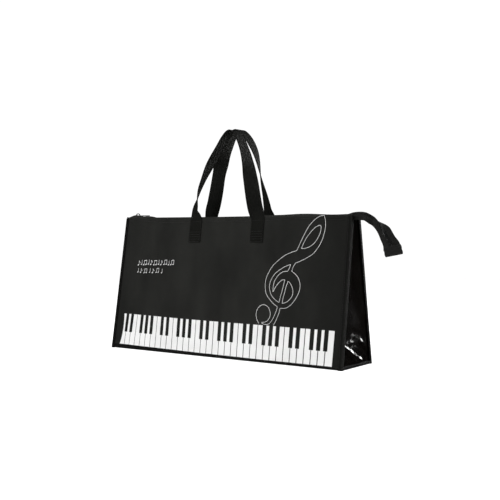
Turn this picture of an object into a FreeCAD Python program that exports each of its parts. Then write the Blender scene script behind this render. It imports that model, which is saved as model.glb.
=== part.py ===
import FreeCAD, Part
import math
import os

# Zipped wedge tote for sheet music: a wide fabric bag with a flat base, front and back
# panels that lean together, two narrow wet-look end gussets, a zipped top whose zip runs on
# past one end as a free tail, and two webbing handles sewn to the panels.
#
# Frame: origin at the centre of the base where the bag stands, +X along the bag's length
# towards the zip's free tail, -Y to the printed front, +Z up. Millimetres.

V = FreeCAD.Vector
doc = FreeCAD.newDocument("music_tote")

# ---------------------------------------------------------------- driving dimensions
dims = doc.addObject("Spreadsheet::Sheet", "Dims")
VALUES = [
    ("half_length", 234.0, "half length of the panels at the base"),
    ("half_depth", 49.4, "half depth over the panels at the base"),
    ("bag_height", 233.0, "base to the top edge of the panels"),
    ("top_inset", 4.4, "how much each end leans in by the top edge"),
    ("top_half_depth", 15.0, "half depth over the panels at the top edge"),
    ("skin", 1.2, "cloth of front, back and bottom"),
    ("side_skin", 0.8, "coated cloth of the gussets"),
    ("gusset_top", 229.5, "height of the gussets' upper edge"),
    ("bind_out", 1.0, "how far a seam binding stands off the gusset"),
    ("bind_wide", 5.0, "width of a seam binding"),
    ("strip_high", 6.6, "height of the turned strip along the foot of a panel"),
    ("strip_out", 0.6, "how far that strip stands off the panel"),
    ("hem_low", 208.0, "lower edge of the turned-in top hem"),
    ("hem_skin", 1.0, "thickness of the turned-in hem"),
    ("hem_stitch", 225.5, "height of the topstitching along the hem"),
    ("board_long", 456.0, "base board length"),
    ("board_wide", 88.0, "base board width"),
    ("board_thick", 2.5, "base board thickness"),
    ("board_corner", 6.0, "base board corner radius"),
    ("strap_wide", 25.0, "webbing width"),
    ("strap_thick", 1.6, "webbing thickness"),
    ("strap_at", 63.0, "half distance between the two ends of one handle"),
    ("foot_low", 189.0, "lower end of the sewn handle ends"),
    ("foot_high", 234.9, "where the sewn end meets the free loop"),
    ("fold_high", 235.4, "height of the line the free loop folds about"),
    ("fold_out", 1.25, "fold line, outwards of the webbing's middle plane"),
    ("tape_mid", 232.0, "height of the zip tape's middle plane"),
    ("tape_thick", 0.7, "zip tape thickness"),
    ("tape_gap", 2.5, "half gap between the two tapes"),
    ("teeth_thick", 2.4, "thickness of the closed teeth"),
    ("zip_left", -228.0, "left end of the zip tapes"),
    ("zip_right", 230.0, "where the sewn part of the zip ends"),
    ("slider_at", -213.0, "middle of the slider when the zip is closed"),
    ("slider_long", 14.0, "slider length"),
    ("slider_wide", 9.2, "slider width"),
    ("plate_thick", 1.2, "slider plate thickness"),
    ("mouth_low", 230.2, "underside of the channel in the slider"),
    ("mouth_high", 233.8, "top of the channel in the slider"),
    ("rim_wide", 1.0, "slider rim width"),
    ("rim_low", 1.05, "lower rim height"),
    ("rim_high", 1.05, "upper rim height"),
    ("post_long", 4.0, "slider post length"),
    ("post_wide", 3.0, "slider post width"),
    ("bridge_long", 9.0, "bridge length"),
    ("bridge_wide", 2.0, "bridge width"),
    ("bridge_high", 3.5, "bridge height"),
    ("bridge_bar", 1.2, "bridge bar section"),
    ("pull_long", 27.0, "length of the pull from its pivot"),
    ("pull_wide", 7.0, "width of the pull"),
    ("pull_thick", 1.4, "thickness of the pull"),
    ("pull_window", 6.0, "how far the pull's window reaches from the pivot"),
    ("window_wide", 3.2, "width of that window"),
    ("pull_pivot", 236.15, "height of the pull's pivot"),
    ("print_long", 433.6, "printed keyboard, length"),
    ("print_high", 54.2, "printed keyboard, height up the panel"),
    ("print_low", 6.9, "lower edge of the keyboard, up the panel"),
    ("print_shift", 0.6, "middle of the keyboard along the bag"),
    ("print_thick", 0.25, "thickness of the print"),
    ("key_black_high", 32.0, "length of a printed black key"),
    ("key_black_wide", 6.8, "width of a printed black key"),
    ("tail_wide", 26.0, "width of the free tail"),
    ("tail_hinge_x", 231.8, "where the tail starts to bend"),
]
VALUE = {}
for row, (alias, number, note) in enumerate(VALUES, start=1):
    dims.set("A%d" % row, note)
    dims.set("B%d" % row, repr(number))
    dims.setAlias("B%d" % row, alias)
    VALUE[alias] = number
doc.recompute()


def val(alias):
    return float(getattr(dims, alias))


LEAN = math.atan2(val("half_depth") - val("top_half_depth"), val("bag_height"))


def depth_at(z):
    """Expression for the half depth over the panels at height z (an expression or number)."""
    return "(Dims.half_depth-(Dims.half_depth-Dims.top_half_depth)*(%s)/Dims.bag_height)" % z


def length_at(z):
    """Expression for the half length of the panels at height z."""
    return "(Dims.half_length-Dims.top_inset*(%s)/Dims.bag_height)" % z


def half_depth(z):
    return val("half_depth") - (val("half_depth") - val("top_half_depth")) * z / val("bag_height")


SUBPARTS = []


def keep(obj, label):
    obj.Label = label
    SUBPARTS.append(obj)
    return obj


def wedge(label, z0, z1, x, y):
    """A slab whose four sides lean evenly between heights z0 and z1.
    x and y are functions of a height expression that give (low, high) expressions."""
    o = doc.addObject("Part::Wedge", label)
    o.Placement = FreeCAD.Placement(V(0, 0, 0), FreeCAD.Rotation(V(1, 0, 0), 90))
    cells = {"Ymin": z0, "Ymax": z1}
    for tail, z in (("", z0), ("2", z1)):
        xl, xh = x(z)
        yl, yh = y(z)
        cells["X%smin" % tail], cells["X%smax" % tail] = xl, xh
        cells["Z%smin" % tail], cells["Z%smax" % tail] = "-1*(%s)" % yh, "-1*(%s)" % yl
    # the widest values first, so that no box is inside out while it is being set up
    o.Xmin, o.X2min, o.Ymin, o.Zmin, o.Z2min = -900, -900, -900, -900, -900
    o.Xmax, o.X2max, o.Ymax, o.Zmax, o.Z2max = 900, 900, 900, 900, 900
    for name, text in cells.items():
        o.setExpression(name, str(text))
    return keep(o, label)


def front(a, b):
    """y range on the front side: a and b are offsets inwards from the panel's outer face."""
    return lambda z: ("-1*%s+(%s)" % (depth_at(z), a), "-1*%s+(%s)" % (depth_at(z), b))


def back(a, b):
    return lambda z: ("%s-(%s)" % (depth_at(z), b), "%s-(%s)" % (depth_at(z), a))


def right_end(a, b):
    """x range at the right end: a and b are offsets outwards from the panel's end."""
    return lambda z: ("%s+(%s)" % (length_at(z), a), "%s+(%s)" % (length_at(z), b))


def left_end(a, b):
    return lambda z: ("-1*%s-(%s)" % (length_at(z), b), "-1*%s-(%s)" % (length_at(z), a))


def full_length(less="0"):
    return lambda z: ("-1*%s+(%s)" % (length_at(z), less), "%s-(%s)" % (length_at(z), less))


def fixed(a, b):
    return lambda z: (a, b)


# ---------------------------------------------------------------- shell
wedge("bottom_panel", "0", "Dims.skin", full_length(),
      lambda z: ("-1*%s" % depth_at(z), depth_at(z)))
wedge("front_panel", "Dims.skin", "Dims.bag_height", full_length(), front("0", "Dims.skin"))
wedge("back_panel", "Dims.skin", "Dims.bag_height", full_length(), back("0", "Dims.skin"))


def between_panels(less):
    return lambda z: ("-1*%s+(%s)" % (depth_at(z), less), "%s-(%s)" % (depth_at(z), less))


wedge("right_gusset", "Dims.skin", "Dims.gusset_top", right_end("-1*Dims.side_skin", "0"), between_panels("Dims.skin"))
wedge("left_gusset", "Dims.skin", "Dims.gusset_top", left_end("-1*Dims.side_skin", "0"), between_panels("Dims.skin"))

# seam bindings: one up each corner seam, one across the foot of each gusset,
# and the turned strip along the foot of the front and back
for label, xr, yr in (
    ("front_right_binding", right_end("0", "Dims.bind_out"), front("0", "Dims.bind_wide")),
    ("back_right_binding", right_end("0", "Dims.bind_out"), back("0", "Dims.bind_wide")),
    ("front_left_binding", left_end("0", "Dims.bind_out"), front("0", "Dims.bind_wide")),
    ("back_left_binding", left_end("0", "Dims.bind_out"), back("0", "Dims.bind_wide")),
):
    wedge(label, "0", "Dims.gusset_top", xr, yr)
for label, xr in (
    ("right_foot_binding", right_end("0", "Dims.bind_out")),
    ("left_foot_binding", left_end("0", "Dims.bind_out")),
):
    wedge(label, "0", "Dims.bind_wide", xr, between_panels("Dims.bind_wide"))
wedge("front_foot_strip", "0", "Dims.strip_high", full_length(), front("-1*Dims.strip_out", "0"))
wedge("back_foot_strip", "0", "Dims.strip_high", full_length(), back("-1*Dims.strip_out", "0"))

# the top hems, turned to the inside, that the zip is sewn to
wedge("front_top_hem", "Dims.hem_low", "Dims.bag_height", full_length("Dims.side_skin+0.3"),
      front("Dims.skin", "Dims.skin+Dims.hem_skin"))
wedge("back_top_hem", "Dims.hem_low", "Dims.bag_height", full_length("Dims.side_skin+0.3"),
      back("Dims.skin", "Dims.skin+Dims.hem_skin"))


# ---------------------------------------------------------------- sketch helpers
def origin_plane(body, role):
    return [f for f in body.Origin.OriginFeatures if f.Role == role][0]


def new_sketch(body, name, role="XY_Plane", offset=("0", "0", "0")):
    """A sketch on one of the body's own origin planes. offset is in the sketch's own axes."""
    sk = body.newObject("Sketcher::SketchObject", name)
    sk.AttachmentSupport = [(origin_plane(body, role), "")]
    sk.MapMode = "FlatFace"
    for axis, text in zip("xyz", offset):
        sk.setExpression(".AttachmentOffset.Base.%s" % axis, str(text))
    return sk


def rect(body, name, wide, high, role="XY_Plane", offset=("0", "0", "0")):
    """A rectangle centred on the sketch's origin, with its width and height bound to the sheet."""
    import Sketcher
    sk = new_sketch(body, name, role, offset)
    p = [V(-5, -4, 0), V(5, -4, 0), V(5, 4, 0), V(-5, 4, 0)]
    for i in range(4):
        sk.addGeometry(Part.LineSegment(p[i], p[(i + 1) % 4]), False)
    for i in range(4):
        sk.addConstraint(Sketcher.Constraint("Coincident", i, 2, (i + 1) % 4, 1))
    sk.addConstraint(Sketcher.Constraint("Horizontal", 0))
    sk.addConstraint(Sketcher.Constraint("Horizontal", 2))
    sk.addConstraint(Sketcher.Constraint("Vertical", 1))
    sk.addConstraint(Sketcher.Constraint("Vertical", 3))
    sk.addConstraint(Sketcher.Constraint("Symmetric", 0, 1, 1, 2, -1, 1))
    for kind, first, name_, text in (("DistanceX", 0, "wide", wide), ("DistanceY", 1, "high", high)):
        index = sk.addConstraint(Sketcher.Constraint(kind, first, 1, first, 2, 9.0))
        sk.renameConstraint(index, name_)
        sk.setExpression("Constraints.%s" % name_, str(text))
    return sk


def pad(body, name, sketch, length, kind="PartDesign::Pad", reverse=False):
    f = body.newObject(kind, name)
    f.Profile = sketch
    f.setExpression("Length", str(length))
    f.Reversed = reverse
    doc.recompute()
    return f


# ---------------------------------------------------------------- base board
board = doc.addObject("PartDesign::Body", "base_board")
pad(board, "board_pad", rect(board, "board_outline", "Dims.board_long", "Dims.board_wide",
                             offset=("0", "0", "Dims.skin")), "Dims.board_thick")
corners = ["Edge%d" % (i + 1) for i, e in enumerate(board.Shape.Edges)
           if abs(e.Vertexes[0].Point.z - e.Vertexes[-1].Point.z) > 1.0]
fillet = board.newObject("PartDesign::Fillet", "board_corners")
fillet.Base = (board.getObject("board_pad"), corners)
fillet.setExpression("Radius", "Dims.board_corner")
keep(board, "base_board")

# ---------------------------------------------------------------- printed keyboard
# a thin layer on the front panel: 35 white keys, five octaves, with the black keys left open
keys = doc.addObject("PartDesign::Body", "keyboard_print")
pad(keys, "keys_layer", rect(keys, "keys_outline", "Dims.print_long", "Dims.print_high",
                             offset=("0", "Dims.print_low+Dims.print_high/2", "0")), "Dims.print_thick")
import Sketcher

black = new_sketch(keys, "black_keys")
pitch = val("print_long") / 35.0
k_top = val("print_low") + val("print_high") + 0.5
k_low = val("print_low") + val("print_high") - val("key_black_high")
k_half = val("key_black_wide") / 2
for octave in range(5):
    for step in (1, 2, 4, 5, 6):
        xc = -val("print_long") / 2 + pitch * (octave * 7 + step)
        p = [V(xc - k_half, k_low, 0), V(xc + k_half, k_low, 0), V(xc + k_half, k_top, 0), V(xc - k_half, k_top, 0)]
        first = black.GeometryCount
        for i in range(4):
            black.addGeometry(Part.LineSegment(p[i], p[(i + 1) % 4]), False)
        for i in range(4):
            black.addConstraint(Sketcher.Constraint("Coincident", first + i, 2, first + (i + 1) % 4, 1))
doc.recompute()
before = keys.Shape.Volume
pad(keys, "black_key_cuts", black, "Dims.print_thick", "PartDesign::Pocket", reverse=True)
if keys.Shape.Volume > before - 1.0:
    keys.getObject("black_key_cuts").Reversed = False
    doc.recompute()
print("keyboard print", round(before, 1), "->", round(keys.Shape.Volume, 1), "mm3")
keys.Placement = FreeCAD.Placement(V(val("print_shift"), -val("half_depth"), 0),
                                   FreeCAD.Rotation(V(1, 0, 0), 90 - math.degrees(LEAN)))
keep(keys, "keyboard_print")

# ---------------------------------------------------------------- zip, sewn part
for label, side in (("front_zip_tape", -1), ("back_zip_tape", 1)):
    edge = (lambda z: ("-1*%s+Dims.skin+Dims.hem_skin" % depth_at(z), "-1*Dims.tape_gap")) if side < 0 else \
           (lambda z: ("Dims.tape_gap", "%s-Dims.skin-Dims.hem_skin" % depth_at(z)))
    wedge(label, "Dims.tape_mid-Dims.tape_thick/2", "Dims.tape_mid+Dims.tape_thick/2",
          fixed("Dims.zip_left", "Dims.zip_right"), edge)
for label, side in (("front_teeth_row", -1), ("back_teeth_row", 1)):
    row = doc.addObject("Part::Box", label)
    row.setExpression("Length", "Dims.zip_right-(Dims.slider_at+Dims.slider_long/2+0.4)")
    row.setExpression("Width", "Dims.tape_gap-0.05")
    row.setExpression("Height", "Dims.teeth_thick")
    row.setExpression(".Placement.Base.x", "Dims.slider_at+Dims.slider_long/2+0.4")
    row.setExpression(".Placement.Base.y", "-1*Dims.tape_gap" if side < 0 else "0.05")
    row.setExpression(".Placement.Base.z", "Dims.tape_mid-Dims.teeth_thick/2")
    keep(row, label)

stops = []
for name, y0 in (("stop_front", "-1*Dims.tape_gap"), ("stop_back", "0.5")):
    s = doc.addObject("Part::Box", name)
    s.setExpression("Length", "2.5")
    s.setExpression("Width", "Dims.tape_gap-0.5")
    s.setExpression("Height", "Dims.teeth_thick")
    s.setExpression(".Placement.Base.x", "Dims.slider_at-Dims.slider_long/2-4")
    s.setExpression(".Placement.Base.y", y0)
    s.setExpression(".Placement.Base.z", "Dims.tape_mid-Dims.teeth_thick/2")
    stops.append(s)
both = doc.addObject("Part::Compound", "zip_top_stops")
both.Links = stops
keep(both, "zip_top_stops")

# ---------------------------------------------------------------- slider
slider = doc.addObject("PartDesign::Body", "zip_slider")


def plate_sketch(name, z):
    """Plate outline: narrow over the joined teeth, wide where the two rows part."""
    sk = new_sketch(slider, name, offset=("0", "0", z))
    L, W = val("slider_long") / 2, val("slider_wide") / 2
    p = [V(-L, -W + 1.2, 0), V(-L + 1.6, -W, 0), V(L - 1.0, -W, 0), V(L, -W + 0.9, 0),
         V(L, W - 0.9, 0), V(L - 1.0, W, 0), V(-L + 1.6, W, 0), V(-L, W - 1.2, 0)]
    for i in range(8):
        sk.addGeometry(Part.LineSegment(p[i], p[(i + 1) % 8]), False)
    for i in range(8):
        sk.addConstraint(Sketcher.Constraint("Coincident", i, 2, (i + 1) % 8, 1))
    return sk


pad(slider, "lower_plate", plate_sketch("lower_outline", "Dims.mouth_low-Dims.plate_thick"), "Dims.plate_thick")
pad(slider, "post", rect(slider, "post_outline", "Dims.post_long", "Dims.post_wide",
                         offset=("-1*Dims.slider_long/2+Dims.post_long/2+1.0", "0", "Dims.mouth_low")),
    "Dims.mouth_high-Dims.mouth_low")
pad(slider, "upper_plate", plate_sketch("upper_outline", "Dims.mouth_high"), "Dims.plate_thick")
for name, side, z, high in (
    ("rim_lf", "-1*", "Dims.mouth_low", "Dims.rim_low"), ("rim_lb", "", "Dims.mouth_low", "Dims.rim_low"),
    ("rim_uf", "-1*", "Dims.mouth_high-Dims.rim_high", "Dims.rim_high"), ("rim_ub", "", "Dims.mouth_high-Dims.rim_high", "Dims.rim_high"),
):
    pad(slider, name, rect(slider, name + "_outline", "Dims.slider_long-3.2", "Dims.rim_wide",
                           offset=("0", side + "(Dims.slider_wide/2-Dims.rim_wide/2)", z)), high)
roof = "Dims.mouth_high+Dims.plate_thick"
for name, side in (("bridge_leg_l", "-1*"), ("bridge_leg_r", "")):
    pad(slider, name, rect(slider, name + "_outline", "Dims.bridge_bar", "Dims.bridge_wide",
                           offset=(side + "(Dims.bridge_long/2-Dims.bridge_bar/2)", "0", roof)), "Dims.bridge_high")
pad(slider, "bridge_top", rect(slider, "bridge_top_outline", "Dims.bridge_long", "Dims.bridge_wide",
                               offset=("0", "0", roof + "+Dims.bridge_high-Dims.bridge_bar")), "Dims.bridge_bar")
slider.setExpression(".Placement.Base.x", "Dims.slider_at")
keep(slider, "zip_slider")

# pull: a flat tab with a window round the bridge, closed under it by a round bar that it turns on
pull = doc.addObject("PartDesign::Body", "zip_pull")
pad(pull, "pull_plate", rect(pull, "pull_outline", "Dims.pull_long+0.7", "Dims.pull_wide",
                             offset=("Dims.pull_long/2-0.35", "0", "-1*Dims.pull_thick/2")), "Dims.pull_thick")
cut = pad(pull, "pull_window_cut", rect(pull, "window_outline", "Dims.pull_window-0.7", "Dims.window_wide",
                                        offset=("Dims.pull_window/2+0.35", "0", "-1*Dims.pull_thick/2")),
          "Dims.pull_thick", "PartDesign::Pocket", reverse=True)
tip = pull.newObject("PartDesign::Fillet", "pull_tip")
tip_edges = ["Edge%d" % (i + 1) for i, e in enumerate(cut.Shape.Edges)
             if abs(e.Vertexes[0].Point.z - e.Vertexes[-1].Point.z) > 1.0 and e.Vertexes[0].Point.x > val("pull_long") - 0.5]
tip.Base = (cut, tip_edges)
tip.Radius = 3.0
pull.setExpression(".Placement.Base.x", "Dims.slider_at")
pull.setExpression(".Placement.Base.z", "Dims.pull_pivot")
keep(pull, "zip_pull")


# ---------------------------------------------------------------- strips that bend and twist
def twisted_strip(label, stations, u0, u1, thick):
    """A flat strip through the stations, each (point, tangent, width direction): it is thick
    across and runs from u0 to u1 along the width direction."""
    wires = []
    for p, t, w in stations:
        n = t.cross(w)
        n.normalize()
        c = [p + w * u0 - n * (thick / 2), p + w * u1 - n * (thick / 2),
             p + w * u1 + n * (thick / 2), p + w * u0 + n * (thick / 2)]
        wires.append(Part.makePolygon(c + [c[0]]))
    shape = Part.makeLoft(wires, True, True)
    o = doc.addObject("Part::Feature", label)
    o.Shape = shape
    o.Placement = FreeCAD.Placement()
    run = sum((stations[i + 1][0] - stations[i][0]).Length for i in range(len(stations) - 1))
    print(label, "run", round(run, 1), "mm, volume", round(shape.Volume, 1), "of", round(run * (u1 - u0) * thick, 1))
    return keep(o, label)


def stations_from(points, widths, first=None, last=None):
    """Centre points and width directions -> stations with tangents; the widths are made square to them.
    first and last, if given, are the tangents at the two ends."""
    out = []
    for i, p in enumerate(points):
        a = points[max(i - 1, 0)]
        b = points[min(i + 1, len(points) - 1)]
        t = (b - a)
        if i == 0 and first is not None:
            t = V(first)
        if i == len(points) - 1 and last is not None:
            t = V(last)
        t.normalize()
        w = widths[i] - t * widths[i].dot(t)
        w.normalize()
        out.append((p, t, w))
    return out


# free loop of a handle, seen from the front: (x, height, turn of the webbing out of the panel in degrees)
LOOP = [
    (-63.0, 235.9, 0), (-62.9, 243.0, 9), (-62.4, 252.0, 24), (-61.4, 262.0, 41), (-59.2, 273.0, 56),
    (-55.5, 284.5, 66), (-50.2, 296.0, 74), (-43.6, 308.0, 81), (-36.2, 320.0, 87), (-28.6, 332.0, 90),
    (-20.9, 344.0, 90), (-13.0, 355.5, 90), (-5.0, 366.0, 90), (0.2, 371.6, 90), (6.0, 375.2, 90), (12.5, 376.0, 90),
    (19.0, 373.2, 90), (25.0, 367.5, 90), (30.2, 359.8, 89), (34.6, 350.0, 87), (38.2, 338.5, 84),
    (41.6, 326.0, 79), (44.8, 313.0, 71), (47.7, 300.0, 61), (50.6, 287.0, 50),
    (53.8, 274.0, 38), (57.4, 261.0, 25), (60.6, 249.0, 12), (62.6, 241.0, 4), (63.0, 235.9, 0),
]
foot_y = half_depth(val("fold_high")) + val("strap_thick") / 2
points, widths = [], []
top = max(z for x, z, a in LOOP)
for i, (x, z, a) in enumerate(LOOP):
    share = (z - val("fold_high")) / (top - val("fold_high"))
    points.append(V(x, -foot_y - 2.0 * math.sin(math.pi / 2 * share), z))
    r = math.radians(a)
    # the width turns from +X through -Y to -X over the loop
    widths.append(V(math.cos(r), -math.sin(r), 0) if i <= 15 else V(-math.cos(r), -math.sin(r), 0))
front_stations = stations_from(points, widths, V(0, 0, 1), V(0, 0, -1))
turn = FreeCAD.Rotation(V(0, 0, 1), 180)
back_stations = [(turn.multVec(p), turn.multVec(t), turn.multVec(w)) for p, t, w in front_stations]
half_strap = val("strap_wide") / 2
twisted_strip("front_handle_loop", front_stations, -half_strap, half_strap, val("strap_thick"))
twisted_strip("back_handle_loop", back_stations, -half_strap, half_strap, val("strap_thick"))

# the sewn ends of the handles
for label, side, outer in (
    ("front_handle_left_end", -1, front("-1*Dims.strap_thick", "0")),
    ("front_handle_right_end", 1, front("-1*Dims.strap_thick", "0")),
    ("back_handle_left_end", -1, back("-1*Dims.strap_thick", "0")),
    ("back_handle_right_end", 1, back("-1*Dims.strap_thick", "0")),
):
    mid = "%d*Dims.strap_at" % side
    wedge(label, "Dims.foot_low", "Dims.foot_high",
          fixed(mid + "-Dims.strap_wide/2", mid + "+Dims.strap_wide/2"), outer)


# ---------------------------------------------------------------- thread
def on_panel(side, x, z, out):
    """Point on the outer face of the front (-1) or back (1) panel, moved out by out."""
    return V(x, side * (half_depth(z) + out * math.cos(LEAN)), z + out * math.sin(LEAN))


def thread(side, x0, x1, z, out, wide=0.6, proud=0.35):
    """A straight run of thread along X, lying on a face that is out of the panel's outer face."""
    b = Part.makeBox(x1 - x0, wide, proud)
    b.Placement = FreeCAD.Placement(on_panel(side, x0 if side < 0 else x1, z, out),
                                    FreeCAD.Rotation(V(1, 0, 0), 90 - math.degrees(LEAN)) if side < 0 else
                                    FreeCAD.Rotation(V(0, 0, 1), 180).multiply(FreeCAD.Rotation(V(1, 0, 0), 90 - math.degrees(LEAN))))
    return b


def group(label, shapes):
    o = doc.addObject("Part::Feature", label)
    o.Shape = Part.makeCompound(shapes)
    o.Placement = FreeCAD.Placement()
    return keep(o, label)


at, hw = val("strap_at"), val("strap_wide") / 2
rows = (190.5, 194.5, 198.5, 202.5, 206.5, 225.5)
for label, side in (("front_handle_stitching", -1), ("back_handle_stitching", 1)):
    group(label, [thread(side, s * at - hw + 1.5, s * at + hw - 1.5, z, val("strap_thick") / math.cos(LEAN) * math.cos(LEAN) ** 2 + 0.001)
                  for s in (-1, 1) for z in rows])
for label, side in (("front_hem_stitching", -1), ("back_hem_stitching", 1)):
    end = val("half_length") - val("top_inset") - 1.0
    group(label, [thread(side, a, b, val("hem_stitch"), 0.0)
                  for a, b in ((-end, -at - hw - 0.5), (-at + hw + 0.5, at - hw - 0.5), (at + hw + 0.5, end))])

# ---------------------------------------------------------------- free tail of the zip
# the teeth run along the ridge; the two tapes fold down beside it just past the bag's end, like a
# roof, and open out flat again towards the folded end tab.
# (x, y, z, fold of the tapes below level in degrees, share of the turn to the end tab's direction)
TAIL = [
    (232.4, 0.0, 232.4, 4, 0.0), (235.2, 0.0, 233.9, 34, 0.0), (238.6, 0.0, 235.2, 56, 0.0), (243.0, 0.0, 235.7, 64, 0.02),
    (247.8, -0.2, 234.8, 65, 0.06), (253.4, -0.5, 231.8, 65, 0.14), (259.4, -0.9, 227.3, 65, 0.26), (265.0, -1.3, 222.0, 65, 0.38),
    (270.4, -1.7, 215.9, 65, 0.50), (275.4, -2.1, 209.5, 65, 0.62), (279.8, -2.4, 203.0, 65, 0.74), (283.6, -2.7, 196.6, 65, 0.86),
    (286.6, -2.9, 190.6, 65, 0.96), (288.4, -3.0, 186.4, 65, 1.0),
]
END = V(0.813, 0.582, 0)
pts = [V(x, y, z) for x, y, z, f, k in TAIL]
front_w, back_w = [], []
for x, y, z, f, k in TAIL:
    c, d = math.cos(math.radians(f)), math.sin(math.radians(f))
    front_w.append(V(0, -c, -d) * (1 - k) - END * k)
    back_w.append(V(0, c, -d) * (1 - k) + END * k)
front_tail = stations_from(pts, front_w)
back_tail = stations_from(pts, back_w)
ridge = stations_from(pts, [b[2] - a[2] for a, b in zip(front_tail, back_tail)])
half_tail = val("tail_wide") / 2
inner = val("tape_gap") + 0.05
twisted_strip("tail_front_tape", front_tail, inner, half_tail, val("tape_thick"))
twisted_strip("tail_back_tape", back_tail, inner, half_tail, val("tape_thick"))
twisted_strip("tail_teeth", ridge, -2.2, 2.2, 2.0)
p, t, w = ridge[-1]
end = [(p + t * 0.5, t, w), (p + t * 12.0, t, w)]
twisted_strip("tail_end_tab", end, -half_tail - 0.7, half_tail + 0.7, 3.0)

# ---------------------------------------------------------------- check and write
doc.recompute()
bad = [o.Name for o in doc.Objects if set(o.State) & {"Invalid", "Error"}]
if bad:
    raise SystemExit("failed objects: %s" % bad)
os.makedirs("parts", exist_ok=True)
low, high = [1e9] * 3, [-1e9] * 3
for o in SUBPARTS:
    shape = o.Shape
    if shape.isNull() or not shape.isValid() or not shape.Solids:
        raise SystemExit("bad shape: %s" % o.Label)
    shape.exportStep(os.path.join("parts", o.Label + ".step"))
    b = shape.BoundBox
    low = [min(a, c) for a, c in zip(low, (b.XMin, b.YMin, b.ZMin))]
    high = [max(a, c) for a, c in zip(high, (b.XMax, b.YMax, b.ZMax))]
print(len(SUBPARTS), "sub-parts; box", [round(x, 2) for x in low], [round(x, 2) for x in high])
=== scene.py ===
import math

import bpy
import numpy as np
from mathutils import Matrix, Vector


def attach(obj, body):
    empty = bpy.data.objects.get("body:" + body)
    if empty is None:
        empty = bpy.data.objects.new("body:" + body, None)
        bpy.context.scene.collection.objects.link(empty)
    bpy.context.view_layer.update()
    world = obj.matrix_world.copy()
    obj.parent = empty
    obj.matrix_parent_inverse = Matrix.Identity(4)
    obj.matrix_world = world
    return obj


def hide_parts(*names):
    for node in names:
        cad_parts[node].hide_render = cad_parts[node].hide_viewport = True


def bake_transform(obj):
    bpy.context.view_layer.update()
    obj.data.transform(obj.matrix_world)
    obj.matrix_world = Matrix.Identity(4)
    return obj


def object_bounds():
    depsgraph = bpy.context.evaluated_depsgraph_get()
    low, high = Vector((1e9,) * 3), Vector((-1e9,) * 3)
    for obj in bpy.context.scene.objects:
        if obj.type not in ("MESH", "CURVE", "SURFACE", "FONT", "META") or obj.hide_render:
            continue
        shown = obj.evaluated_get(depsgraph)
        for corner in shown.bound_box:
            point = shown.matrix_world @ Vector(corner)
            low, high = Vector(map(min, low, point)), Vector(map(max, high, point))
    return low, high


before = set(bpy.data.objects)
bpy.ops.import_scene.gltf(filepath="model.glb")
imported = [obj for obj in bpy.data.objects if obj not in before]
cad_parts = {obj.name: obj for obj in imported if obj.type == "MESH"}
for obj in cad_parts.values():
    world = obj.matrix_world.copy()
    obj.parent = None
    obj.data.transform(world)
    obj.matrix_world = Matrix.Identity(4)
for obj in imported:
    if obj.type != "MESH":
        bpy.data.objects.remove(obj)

CAD_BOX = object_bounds()
MM = 0.001
PI = math.pi

# ------------------------------------------------------------------ camera
AZ, EL, REACH = math.radians(35.79), math.radians(3.62), 1.5085
toward = Vector((math.sin(AZ) * math.cos(EL), -math.cos(AZ) * math.cos(EL), math.sin(EL)))
cam_data = bpy.data.cameras.new("camera")
cam_data.sensor_width = 36.0
cam_data.lens = 896.2 / 500.0 * 36.0
cam_data.shift_x = 0.0330
cam_data.shift_y = 0.0721
cam_data.clip_start = 0.05
cam_data.clip_end = 50.0
cam = bpy.data.objects.new("camera", cam_data)
bpy.context.scene.collection.objects.link(cam)
cam.location = toward * REACH + Vector((0, 0, 0.1165))
cam.rotation_euler = (-toward).to_track_quat("-Z", "Y").to_euler()
bpy.context.scene.camera = cam


# ------------------------------------------------------------------ numbers
def lerp_smooth(x, xs, ys):
    """Smooth interpolation through knots, flat beyond the ends."""
    xs, ys = np.asarray(xs, float), np.asarray(ys, float)
    m = np.gradient(ys, xs)
    x = np.clip(np.asarray(x, float), xs[0], xs[-1])
    i = np.clip(np.searchsorted(xs, x) - 1, 0, len(xs) - 2)
    h = xs[i + 1] - xs[i]
    t = (x - xs[i]) / h
    return ((2 * t**3 - 3 * t**2 + 1) * ys[i] + (t**3 - 2 * t**2 + t) * h * m[i]
            + (-2 * t**3 + 3 * t**2) * ys[i + 1] + (t**3 - t**2) * h * m[i + 1])


def step(t):
    t = np.clip(t, 0, 1)
    return t * t * (3 - 2 * t)


def unit(v):
    v = np.asarray(v, float)
    return v / np.maximum(np.linalg.norm(v, axis=-1, keepdims=True), 1e-12)


# ------------------------------------------------------------------ meshes
def signed_volume(v, faces):
    total = 0.0
    for f in faces:
        a = v[f[0]]
        for i in range(1, len(f) - 1):
            total += float(np.dot(a, np.cross(v[f[i]], v[f[i + 1]])))
    return total


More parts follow.
